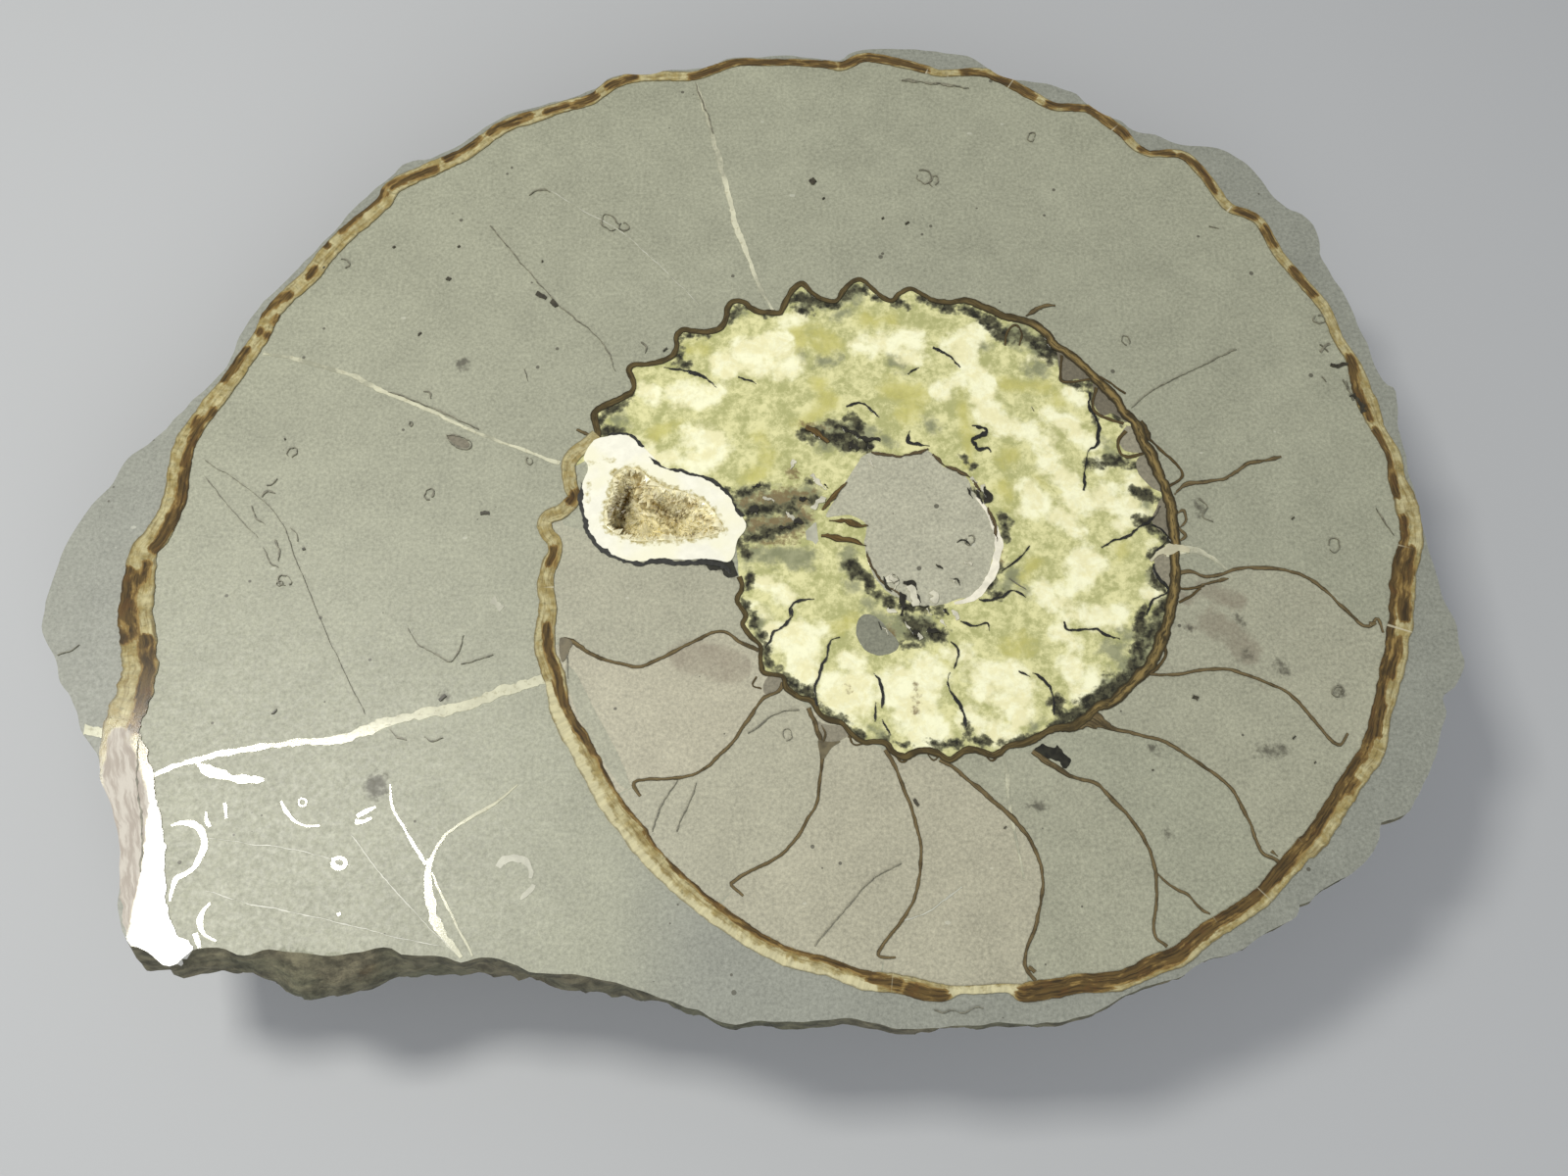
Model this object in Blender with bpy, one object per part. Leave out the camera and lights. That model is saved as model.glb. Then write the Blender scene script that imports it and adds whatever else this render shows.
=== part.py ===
"""Half of a fossil ammonite in its limestone, sawn through the coil and polished.

The stone lies on a small ground spot under its rough, domed back, with the polished
face up. A crystal-lined hollow opens in the face, at the start of the outer whorl.
Metres, +Z up, origin under the middle of the stone.
"""

import math

import bmesh
import bpy
import numpy as np
from mathutils import Vector, noise

MM = 0.001

# The whole stone
STONE_HALF_LENGTH = 114.5 * MM
STONE_HALF_WIDTH = 89.5 * MM
STONE_THICKNESS = 38 * MM
EDGE_POINTS = 168
BACK_RINGS = 22

# The back is a dome whose crown was ground away by a millimetre, to make the rest spot
DOME_DEPTH = 39 * MM
DOME_CENTRE = (4 * MM, -4 * MM)
DOME_HALF_SIZE = (104 * MM, 80 * MM)
DOME_FULLNESS = 2.05
CROWN_FROM_LEVEL = 0.62
CROWN_LEVELS = 0.2

# The end of the body chamber broke off steeply, towards -X and -Y
STEEP_SIDE_ANGLE = math.radians(222)
STEEP_SIDE_SPREAD = math.radians(38)
STEEP_FULLNESS = 1.3

# A rough ledge stands out below the front edge, left of the middle
LEDGE_X = -68 * MM
LEDGE_HALF_WIDTH = 10 * MM
LEDGE_REACH = 5.2 * MM
LEDGE_SPAN = 23 * MM
FRONT_SWELL = 0.9 * MM
FRONT_SWELL_X = -50 * MM
FRONT_SWELL_HALF_WIDTH = 38 * MM

# The coil, whose radius doubles in one turn, shows on the back as bulges and ribs
COIL_CENTRE = (26.5 * MM, -12.5 * MM)
COIL_RADIUS = 82 * MM
COIL_GROWTH = 2.03
COIL_EYE_RADIUS = 4 * MM
WHORL_BULGE = 5.0 * MM
WHORL_SUNK_SHARE = 0.5
WHORL_ROUNDNESS = 0.8
RIBS_PER_TURN = 26
RIB_HEIGHT = 1.3 * MM
RIB_SWEEP = 0.35

# Rough stone: lumps of a few sizes
LUMPS = ((31 * MM, 1.5 * MM), (12 * MM, 0.7 * MM), (5.5 * MM, 0.3 * MM))
ROUGH_FROM_DEPTH = 3 * MM

# The hollow with crystals
HOLLOW_DEPTH = 9.2 * MM
HOLLOW_MIDDLE = (-15 * MM, -5.5 * MM)
HOLLOW_DEEPEST = (-18 * MM, -5.5 * MM)
CUTTER_ABOVE_FACE = 2 * MM
HOLLOW_WALL = ((1.0, 0.0), (0.95, 0.25), (0.84, 0.52), (0.66, 0.78), (0.42, 0.95), (0.18, 1.0))
CRUST_GAP = 0.35 * MM
CRUST_FLOOR_GAP = 0.45 * MM
CRUST_THICKNESS = 1.1 * MM
CRYSTALS_AROUND = 34
CRYSTAL_HEIGHTS = (0.35 * MM, 0.85 * MM)
CRYSTAL_LEAN = 0.22 * MM
CRUST_BELOW_FACE = 0.3 * MM
SMALLEST_CRYSTAL_BASE = 0.6 * MM
STEEPEST_OVERHANG = -0.2
RANDOM_SEED = 7

# Finishes: colour and roughness
LIMESTONE = ((0.40, 0.39, 0.32), 0.45)
TAN_CALCITE = ((0.66, 0.53, 0.32), 0.35)

# Edge of the polished face, in millimetres, from the left tip and clockwise
FACE_EDGE_MM = (
    (-114.5, -26.5), (-114, -19), (-112, -9), (-107, -0.5), (-104.5, 4), (-100.5, 8),
    (-95, 15.5), (-90.5, 21.5), (-86.5, 33), (-78, 44.5), (-70, 56.5), (-63.5, 63.5),
    (-58.5, 65), (-53.5, 68), (-46.5, 74), (-36, 78), (-30, 80), (-26.5, 83),
    (-19.5, 83.5), (-9, 85), (-5.5, 87), (7.5, 88), (16, 87), (21.5, 89.5),
    (28, 89.5), (39.5, 88), (45, 83.5), (54, 81.5), (59, 79.5), (64, 74.5),
    (69.5, 71), (77.5, 68), (85, 67), (89.5, 63), (93, 57), (98, 52.5),
    (100, 50), (100.5, 44), (103.5, 36), (107, 21.5), (110, 16.5), (109.5, 9.5),
    (111, -11), (112, -20.5), (113.5, -24.5), (114.5, -32.5), (112, -36), (110, -38),
    (110, -41), (108.5, -45.5), (102, -56.5), (97.5, -58.5), (95.5, -63.5), (85, -70.5),
    (82.5, -72.5), (73.5, -78), (68.5, -79.5), (58.5, -83.5), (49, -87.5), (43, -88.5),
    (37, -88.5), (22.5, -89.5), (15, -87.5), (-3.5, -88.5), (-7, -86.5), (-24, -81.5),
    (-31.5, -81.5), (-39, -79), (-45.5, -79), (-54, -77.5), (-62.5, -78.5), (-71.5, -77.5),
    (-82, -77.5), (-87, -80), (-90.5, -77.5), (-94, -75), (-95, -68), (-96.5, -61),
    (-100.5, -52), (-104.5, -44.5), (-109, -36),
)

# Mouth of the hollow in the face, in millimetres, clockwise
HOLLOW_MOUTH_MM = (
    (-23, 1.5), (-19.5, 2), (-17, 0), (-14, -1.5), (-11, -2.5), (-8.5, -3.5),
    (-6.5, -5.5), (-5.5, -7.5), (-4.5, -9.5), (-7.5, -10.5), (-11, -11), (-15, -11),
    (-19, -11.5), (-21.5, -10.5), (-23.5, -9), (-24.5, -7.5), (-24, -5), (-23, -2),
)


def clear_scene():
    for obj in list(bpy.data.objects):
        bpy.data.objects.remove(obj, do_unlink=True)


def new_collection(name):
    collection = bpy.data.collections.new(name)
    bpy.context.scene.collection.children.link(collection)
    return collection


def surface(name, colour, roughness):
    material = bpy.data.materials.new(name)
    material.use_nodes = True
    shader = material.node_tree.nodes["Principled BSDF"]
    shader.inputs["Base Color"].default_value = (*colour, 1.0)
    shader.inputs["Roughness"].default_value = roughness
    shader.inputs["Metallic"].default_value = 0.0
    material.diffuse_color = (*colour, 1.0)
    return material


def smooth_step(value):
    value = min(max(value, 0.0), 1.0)
    return value * value * (3 - 2 * value)


def evenly_spaced(points_mm, count):
    """Points at equal steps round a closed outline, counter-clockwise, in metres."""
    corners = np.array(points_mm[::-1]) * MM
    closed = np.vstack([corners, corners[:1]])
    lengths = np.hypot(*np.diff(closed, axis=0).T)
    along = np.concatenate([[0.0], np.cumsum(lengths)])
    steps = np.linspace(0, along[-1], count, endpoint=False)
    return np.column_stack([np.interp(steps, along, closed[:, axis]) for axis in (0, 1)])


def with_extremes(points, corners_mm):
    """The nearest spaced point moves onto each outermost corner, so that the size is exact."""
    corners = np.array(corners_mm) * MM
    for axis in (0, 1):
        for corner in (corners[corners[:, axis].argmin()], corners[corners[:, axis].argmax()]):
            nearest = np.hypot(*(points - corner).T).argmin()
            points[nearest] = corner
    return points


def loft(name, rings, material, collection):
    """A closed body through rings of points, counter-clockwise from above and listed downwards."""
    bm = bmesh.new()
    rows = [[bm.verts.new(point) for point in ring] for ring in rings]
    count = len(rows[0])
    for upper, lower in zip(rows, rows[1:]):
        for i in range(count):
            j = (i + 1) % count
            bm.faces.new((upper[i], lower[i], lower[j], upper[j]))
    bm.faces.new(rows[0])
    bm.faces.new(rows[-1][::-1])
    bmesh.ops.recalc_face_normals(bm, faces=bm.faces)
    mesh = bpy.data.meshes.new(name)
    bm.to_mesh(mesh)
    bm.free()
    mesh.materials.append(material)
    obj = bpy.data.objects.new(name, mesh)
    collection.objects.link(obj)
    return obj


def coil_relief(x, y):
    """Height of the whorls and their ribs above the plain dome, at a place on the back."""
    dx, dy = x - COIL_CENTRE[0], y - COIL_CENTRE[1]
    angle = math.atan2(dy, dx)
    radius = max(math.hypot(dx, dy), COIL_EYE_RADIUS)
    turns = math.log(radius / COIL_RADIUS) / math.log(COIL_GROWTH) - angle / math.tau
    across = turns - math.floor(turns)
    crown = math.sin(math.pi * across) ** WHORL_ROUNDNESS
    size = smooth_step(radius / COIL_RADIUS)
    ribs = RIB_HEIGHT * math.cos(RIBS_PER_TURN * angle + RIB_SWEEP * math.tau * across)
    return size * crown * (WHORL_BULGE + ribs) - size * WHORL_BULGE * WHORL_SUNK_SHARE


def roughness_at(point):
    return sum(height * noise.noise(point / size) for size, height in LUMPS)


def ledge_reach(x, y, depth):
    """How far the front side stands out past the edge of the face."""
    if y > DOME_CENTRE[1]:
        return 0.0
    below = math.sin(math.pi * min(depth / LEDGE_SPAN, 1.0))
    ledge = LEDGE_REACH * math.exp(-(((x - LEDGE_X) / LEDGE_HALF_WIDTH) ** 2))
    swell = FRONT_SWELL * math.exp(-(((x - FRONT_SWELL_X) / FRONT_SWELL_HALF_WIDTH) ** 4))
    return (ledge + swell) * below


def back_ring(edge, level):
    """One ring of the domed back: level 0 is the edge of the face, 1 is the deepest point."""
    ring = []
    swing = level * math.pi / 2
    for x, y in edge:
        dx, dy = x - DOME_CENTRE[0], y - DOME_CENTRE[1]
        angle = math.atan2(dy, dx)
        from_steep = (angle - STEEP_SIDE_ANGLE + math.pi) % math.tau - math.pi
        fullness = DOME_FULLNESS + STEEP_FULLNESS * math.exp(-((from_steep / STEEP_SIDE_SPREAD) ** 2))
        share = math.cos(swing) ** (2 / fullness)
        depth = DOME_DEPTH * math.sin(swing) ** (2 / fullness)
        rounding = 1 - share
        round_x = DOME_HALF_SIZE[0] * math.cos(angle)
        round_y = DOME_HALF_SIZE[1] * math.sin(angle)
        out_x = DOME_CENTRE[0] + share * (dx + rounding * (round_x - dx))
        out_y = DOME_CENTRE[1] + share * (dy + rounding * (round_y - dy))
        point = Vector((out_x, out_y, STONE_THICKNESS - depth))
        outward = Vector((math.cos(swing) * dx, math.cos(swing) * dy, 0)).normalized()
        outward = (outward * math.cos(swing) + Vector((0, 0, -math.sin(swing)))).normalized()
        strength = smooth_step(depth / ROUGH_FROM_DEPTH)
        strength *= 1 - smooth_step((level - CROWN_FROM_LEVEL) / CROWN_LEVELS)
        relief = coil_relief(out_x, out_y) * math.sin(swing) + roughness_at(point)
        point += outward * relief * strength
        point.y -= ledge_reach(x, y, depth)
        point.x = min(max(point.x, -STONE_HALF_LENGTH), STONE_HALF_LENGTH)
        point.y = min(max(point.y, -STONE_HALF_WIDTH), STONE_HALF_WIDTH)
        ring.append(point)
    return ring


def grind_rest_spot(obj):
    """Cuts the dome off flat where it was ground to lie still."""
    bm = bmesh.new()
    bm.from_mesh(obj.data)
    geometry = bm.verts[:] + bm.edges[:] + bm.faces[:]
    cut = bmesh.ops.bisect_plane(
        bm, geom=geometry, plane_co=(0, 0, 0), plane_no=(0, 0, -1), clear_outer=True
    )
    rim = [item for item in cut["geom_cut"] if isinstance(item, bmesh.types.BMEdge)]
    bmesh.ops.contextual_create(bm, geom=rim)
    bmesh.ops.recalc_face_normals(bm, faces=bm.faces)
    bm.to_mesh(obj.data)
    bm.free()


def hollow_ring(mouth, share, depth, inset):
    """A ring round the hollow's wall, pulled in from the stone by inset."""
    down = depth / HOLLOW_DEPTH
    centre = Vector(HOLLOW_MIDDLE).lerp(Vector(HOLLOW_DEEPEST), down)
    ring = []
    for x, y in mouth:
        spoke = Vector((x - HOLLOW_MIDDLE[0], y - HOLLOW_MIDDLE[1]))
        spoke *= share * (1 - inset / spoke.length)
        ring.append(Vector((centre.x + spoke.x, centre.y + spoke.y, STONE_THICKNESS - depth)))
    return ring


def cut_hollow(stone, material, helpers):
    mouth = evenly_spaced(HOLLOW_MOUTH_MM, CRYSTALS_AROUND)
    rings = [hollow_ring(mouth, 1.0, -CUTTER_ABOVE_FACE, 0.0)]
    rings += [hollow_ring(mouth, share, down * HOLLOW_DEPTH, 0.0) for share, down in HOLLOW_WALL]
    cutter = loft("hollow_cutter", rings, material, helpers)
    cutter.hide_render = True
    cutter.display_type = "WIRE"
    cut = stone.modifiers.new("hollow", "BOOLEAN")
    cut.operation = "DIFFERENCE"
    cut.solver = "EXACT"
    cut.object = cutter


def make_stone(material, collection):
    edge = with_extremes(evenly_spaced(FACE_EDGE_MM, EDGE_POINTS), FACE_EDGE_MM)
    rings = [[Vector((x, y, STONE_THICKNESS)) for x, y in edge]]
    levels = (np.arange(BACK_RINGS) + 1) / (BACK_RINGS + 0.5)
    rings += [back_ring(edge, level) for level in levels]
    stone = loft("ammonite_stone", rings, material, collection)
    grind_rest_spot(stone)
    return stone


def make_crust(material, collection):
    """The lining of crystals: a thin bowl whose inner faces rise to points."""
    chance = np.random.RandomState(RANDOM_SEED)
    mouth = evenly_spaced(HOLLOW_MOUTH_MM, CRYSTALS_AROUND)
    outer_depth = HOLLOW_DEPTH - CRUST_FLOOR_GAP
    outer = []
    inner = []
    for share, down in HOLLOW_WALL:
        outer_at = max(down * outer_depth, CRUST_BELOW_FACE)
        inner_at = max(down * (outer_depth - CRUST_THICKNESS), CRUST_BELOW_FACE)
        outer.append(hollow_ring(mouth, share, outer_at, CRUST_GAP))
        inner.append(hollow_ring(mouth, share, inner_at, CRUST_GAP + CRUST_THICKNESS))
    crust = loft("vug_crystals", inner[::-1] + outer, material, collection)
    bm = bmesh.new()
    bm.from_mesh(crust.data)
    bm.faces.ensure_lookup_table()
    facing_in = [face for face in bm.faces if looks_into_hollow(face)]
    points = bmesh.ops.poke(bm, faces=facing_in)["verts"]
    for vert in points:
        height = chance.uniform(*CRYSTAL_HEIGHTS)
        lean = Vector(chance.uniform(-1, 1, 3)) * CRYSTAL_LEAN
        vert.normal_update()
        vert.co += vert.normal * height + lean
        vert.co.z = min(vert.co.z, STONE_THICKNESS - CRUST_BELOW_FACE)
    bm.to_mesh(crust.data)
    bm.free()
    return crust


def looks_into_hollow(face):
    if len(face.verts) > 4:
        return False
    centre = face.calc_center_median()
    middle = Vector((HOLLOW_DEEPEST[0], HOLLOW_DEEPEST[1], STONE_THICKNESS + HOLLOW_DEPTH))
    wide_enough = face.calc_area() > SMALLEST_CRYSTAL_BASE**2
    turned_in = face.normal.dot(middle - centre) > 0
    return wide_enough and turned_in and face.normal.z > STEEPEST_OVERHANG


def main():
    clear_scene()
    parts = new_collection("fossil_ammonite")
    helpers = new_collection("cutters")
    limestone = surface("limestone", *LIMESTONE)
    calcite = surface("tan_calcite", *TAN_CALCITE)
    stone = make_stone(limestone, parts)
    cut_hollow(stone, limestone, helpers)
    make_crust(calcite, parts)


main()
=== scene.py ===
"""The finish of a sawn and polished ammonite half: limestone, shell, septa, calcite and crystals.

Every mark on the polished face is an inlay with a shape of its own. Its place is written as
it is seen in the photograph, in pixels, and laid on the plane of the face through the camera.
"""

import math

import bpy
import numpy as np
from bpy.props import FloatProperty, FloatVectorProperty, IntProperty, PointerProperty
from mathutils import Color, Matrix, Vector, noise
from mathutils.geometry import delaunay_2d_cdt


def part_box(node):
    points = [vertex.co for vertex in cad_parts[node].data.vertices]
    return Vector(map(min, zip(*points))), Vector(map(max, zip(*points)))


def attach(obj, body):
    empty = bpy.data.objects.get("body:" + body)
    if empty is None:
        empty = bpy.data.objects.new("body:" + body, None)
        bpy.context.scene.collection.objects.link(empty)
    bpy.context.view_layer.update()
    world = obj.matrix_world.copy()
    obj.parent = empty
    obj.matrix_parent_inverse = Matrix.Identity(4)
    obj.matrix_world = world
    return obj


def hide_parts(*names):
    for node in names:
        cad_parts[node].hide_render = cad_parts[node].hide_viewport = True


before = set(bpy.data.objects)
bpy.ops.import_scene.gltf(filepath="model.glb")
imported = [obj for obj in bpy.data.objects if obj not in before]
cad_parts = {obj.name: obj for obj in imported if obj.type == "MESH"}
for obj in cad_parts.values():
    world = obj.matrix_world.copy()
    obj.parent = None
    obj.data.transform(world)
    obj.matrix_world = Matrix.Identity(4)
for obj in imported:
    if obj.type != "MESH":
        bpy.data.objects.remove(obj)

bl_info = {
    "name": "Ammonite Half",
    "version": (1, 0, 0),
    "blender": (4, 5, 0),
    "location": "View3D > Sidebar > Ammonite",
    "description": "Builds a polished ammonite half around its solid frame",
    "category": "Add Mesh",
}


def pairs(*numbers):
    """Marks of x and y, from one run of numbers."""
    return list(zip(numbers[::2], numbers[1::2]))


def triples(*numbers):
    """Marks of x, y and width, from one run of numbers."""
    return list(zip(numbers[::3], numbers[1::3], numbers[2::3]))


MM = 0.001
NOISE_SEED = 1
noise.seed_set(NOISE_SEED)
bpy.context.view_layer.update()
STONE_LOW, STONE_HIGH = (Vector(corner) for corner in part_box("ammonite_stone"))

# The camera: where it looks, how far away it is, and how far it leans from the face's normal
PHOTO_SIZE_PX = (1600, 1200)
VIEW_CENTRE = Vector((5.4 * MM, -19.6 * MM, STONE_HIGH.z))
VIEW_LEAN = math.radians(22)
VIEW_DISTANCE = 269 * MM
LENS_MM = 38
SENSOR_MM = 36
FOCAL_PX = PHOTO_SIZE_PX[0] * LENS_MM / SENSOR_MM
EYE = VIEW_CENTRE + VIEW_DISTANCE * Vector((0, -math.sin(VIEW_LEAN), math.cos(VIEW_LEAN)))

# Layers of inlays in the face, from the bare limestone up to the finest marks
LAYERS = (
    "limestone", "chamber", "calcite", "umbilicus", "faint vein", "vein", "fragment", "crescent",
    "loop", "septum", "scrap", "inner wall", "shell wall", "rim", "lining", "suture", "line", "spot",
)
LAYER_STEP = 0.018 * MM
INLAY_DEPTH = 0.6 * MM

# How strips swell in width and drift from their lines: sizes of the long and the short waves
SWELL_SIZES = (1.6 * MM, 0.45 * MM)
DRIFT_SIZES = (2.4 * MM, 0.7 * MM)
LEAST_WIDTH_SHARE = 0.12
LEAST_TAPER = 0.3 * MM
LEAST_DRIFT = 0.2 * MM
SEEDS_PER_METRE = (900, 1700)
BEND_ROUNDS = 60
LEAST_STEP_SHARE = 0.1
LAYER_FILL_SHARE = 0.9

# Small rings: how far round they go, and how uneven they are
RING_POINTS = 13
RING_SPAN = 0.9 * math.tau
RING_OVAL = 0.17
RING_LUMPS = 0.1

# How outlines wander, and how points are spread inside them
CURVE_SAMPLES = 12
EDGE_WANDER_SIZE = 3 * MM
OUTLINE_WANDER_SIZES = (1.4 * MM, 0.5 * MM)
PLATE_STEP = 1.3 * MM
ROW_GAP_SHARE = 0.87
POINT_SHIFT_SHARE = 0.18
POINTS_SEED = 3
WELD_DISTANCE_MM = 1e-4

# How soft the edges of the painted strokes are
STAIN_SOFTNESS = 1.6 * MM
CLOUD_SOFTNESS = 3.4 * MM
DARK_SOFTNESS = 2.0 * MM
WALL_SOFTNESS = 1.1 * MM
PALE_WALL_SOFTNESS = 4 * MM
FAINT_VEIN_SOFTNESS = 3 * MM
FRINGE_SOFTNESS = 1.8 * MM
# The painted shade in the hollow's crevices has this soft edge
CREVICE_SHADE_SOFTNESS = 1.5 * MM
SHELL_SOFTNESS = 0.8 * MM
BELOW_MOUTH_SOFTNESS = 22 * MM

# Edge of the polished face, clockwise from the left
EDGE_PX = pairs(
    160, 445, 186, 418, 229, 375, 246, 339, 262, 314, 291, 286, 345, 230, 372, 200, 400, 178, 412, 166,
    441, 160, 471, 146, 482, 138, 512, 119, 543, 109, 573, 101, 604, 91, 624, 78, 641, 75, 663, 75, 680, 70,
    696, 70, 720, 68, 741, 60, 761, 58, 812, 56, 843, 60, 859, 60, 869, 53, 888, 49, 945, 50, 965, 53,
    986, 56, 996, 61, 1018, 75, 1038, 81, 1067, 84, 1096, 94, 1107, 103, 1124, 115, 1142, 122, 1157, 132,
    1182, 138, 1203, 146, 1246, 151, 1274, 168, 1287, 182, 1296, 196, 1313, 210, 1329, 218, 1342, 231,
    1348, 249, 1347, 259, 1359, 279, 1372, 299, 1384, 326, 1397, 352, 1404, 374, 1415, 390, 1425, 400,
    1428, 436, 1434, 459, 1437, 477, 1446, 507, 1455, 550, 1464, 579, 1471, 605, 1484, 629, 1491, 659,
    1495, 675, 1486, 699, 1474, 711, 1476, 729, 1470, 756, 1461, 783, 1447, 811, 1440, 826, 1427, 835,
    1411, 839, 1409, 854, 1401, 872, 1388, 885, 1365, 899, 1347, 911, 1338, 920, 1327, 922, 1323, 934,
    1305, 946, 1284, 957, 1264, 971, 1233, 979, 1203, 997, 1166, 1008, 1138, 1022, 1101, 1038, 1060, 1045,
    1019, 1043, 993, 1046, 955, 1048, 919, 1050, 889, 1043, 866, 1038, 828, 1042, 776, 1042, 738, 1044,
    715, 1031, 700, 1028, 665, 1014, 599, 996, 547, 993, 527, 984, 496, 977, 476, 980, 466, 981, 452, 976,
    420, 974, 408, 974, 393, 967, 365, 970, 337, 974, 304, 971, 273, 968, 247, 974, 222, 966, 204, 966,
    190, 972, 179, 983, 166, 984, 145, 968, 133, 965, 124, 951, 120, 924, 123, 894, 120, 855, 114, 822,
    102, 798, 100, 777, 98, 769, 84, 750, 81, 741, 71, 711, 61, 697, 55, 671, 42, 641, 51, 597, 75, 540,
    114, 491, 131, 466,
)

# Foot of the broken side, where it shows below the edge at the lower left, left to right
BROKEN_FOOT_PX = pairs(
    148, 989, 176, 991, 222, 996, 255, 992, 286, 1002, 301, 1016, 324, 1020, 350, 1016, 401, 997, 434, 992,
    464, 994, 496, 994, 520, 998, 542, 1000, 583, 1009, 637, 1018, 675, 1028, 713, 1037, 736, 1044,
)
BROKEN_FOOT_DEPTH = 9 * MM

# Outer shell wall, from the start of the outer whorl round to the mouth: x, y and width
SHELL_WALL_PX = triples(
    609, 443, 12, 599, 452, 14, 586, 463, 15, 580, 475, 15, 583, 497, 14, 587, 506, 15, 582, 513, 15,
    572, 522, 16, 559, 527, 16, 555, 535, 15, 559, 545, 15, 565, 552, 15, 566, 563, 15, 561, 575, 16,
    557, 590, 16, 556, 602, 18, 559, 616, 18, 555, 652, 21, 558, 671, 22, 565, 689, 22, 569, 707, 22,
    572, 725, 22, 581, 743, 23, 592, 761, 24, 620, 814, 24, 647, 850, 24, 654, 861, 24, 676, 886, 22,
    724, 927, 21, 774, 961, 20, 801, 975, 19, 827, 982, 19, 854, 990, 19, 884, 1000, 20, 917, 1004, 20,
    955, 1013, 19, 980, 1010, 9, 996, 1010, 9, 1024, 1008, 9, 1036, 1010, 14, 1047, 1013, 20, 1083, 1007, 20,
    1100, 1003, 20, 1121, 1003, 20, 1142, 1000, 20, 1162, 993, 20, 1182, 983, 21, 1203, 976, 21,
    1223, 959, 21, 1244, 944, 21, 1284, 918, 20, 1325, 872, 22, 1344, 854, 24, 1378, 801, 23, 1401, 765, 25,
    1410, 729, 20, 1423, 676, 24, 1427, 650, 24, 1430, 632, 24, 1432, 596, 25, 1434, 579, 25, 1439, 561, 25,
    1441, 543, 23, 1438, 525, 24, 1433, 507, 22, 1426, 489, 19, 1424, 471, 16, 1417, 454, 15, 1406, 436, 15,
    1399, 418, 20, 1391, 400, 20, 1385, 379, 16, 1379, 365, 12, 1366, 345, 11, 1356, 322, 11, 1346, 306, 12,
    1309, 264, 11, 1296, 243, 11, 1286, 226, 11, 1273, 218, 11, 1253, 210, 11, 1235, 186, 11, 1220, 168, 11,
    1205, 157, 10, 1180, 156, 8, 1172, 156, 7, 1159, 149, 9, 1145, 134, 11, 1126, 120, 11, 1111, 111, 10,
    1096, 109, 9, 1076, 108, 10, 1057, 99, 11, 1038, 88, 11, 1019, 79, 10, 1000, 73, 10, 961, 74, 8,
    941, 69, 10, 896, 59, 11, 877, 59, 11, 859, 67, 11, 843, 65, 9, 812, 63, 8, 782, 63, 8, 751, 63, 9,
    726, 71, 11, 706, 77, 11, 675, 77, 12, 645, 79, 12, 624, 86, 13, 604, 100, 13, 573, 109, 14,
    543, 119, 15, 514, 129, 15, 471, 158, 16, 420, 180, 18, 400, 191, 18, 391, 206, 17, 364, 229, 18,
    337, 255, 18, 315, 282, 18, 293, 302, 18, 276, 322, 18, 266, 343, 18, 248, 367, 18, 233, 390, 19,
    197, 437, 21, 186, 461, 23, 178, 507, 24, 165, 538, 26, 147, 562, 28, 141, 589, 32, 139, 624, 36,
    141, 654, 36, 141, 685, 37, 133, 715, 38, 122, 746, 38, 126, 777, 50, 133, 814, 50, 143, 855, 48,
    145, 904, 45, 149, 941, 44, 159, 968, 54, 168, 984, 60, 176, 998, 62,
)

# Where the last turn of the shell starts, and the line that closes its limestone below the mouth
LAST_TURN_START_PX = (676, 886, 22)
BELOW_MOUTH_PX = triples(150, 1060, 20, 400, 1140, 20, 640, 1100, 20)

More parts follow.
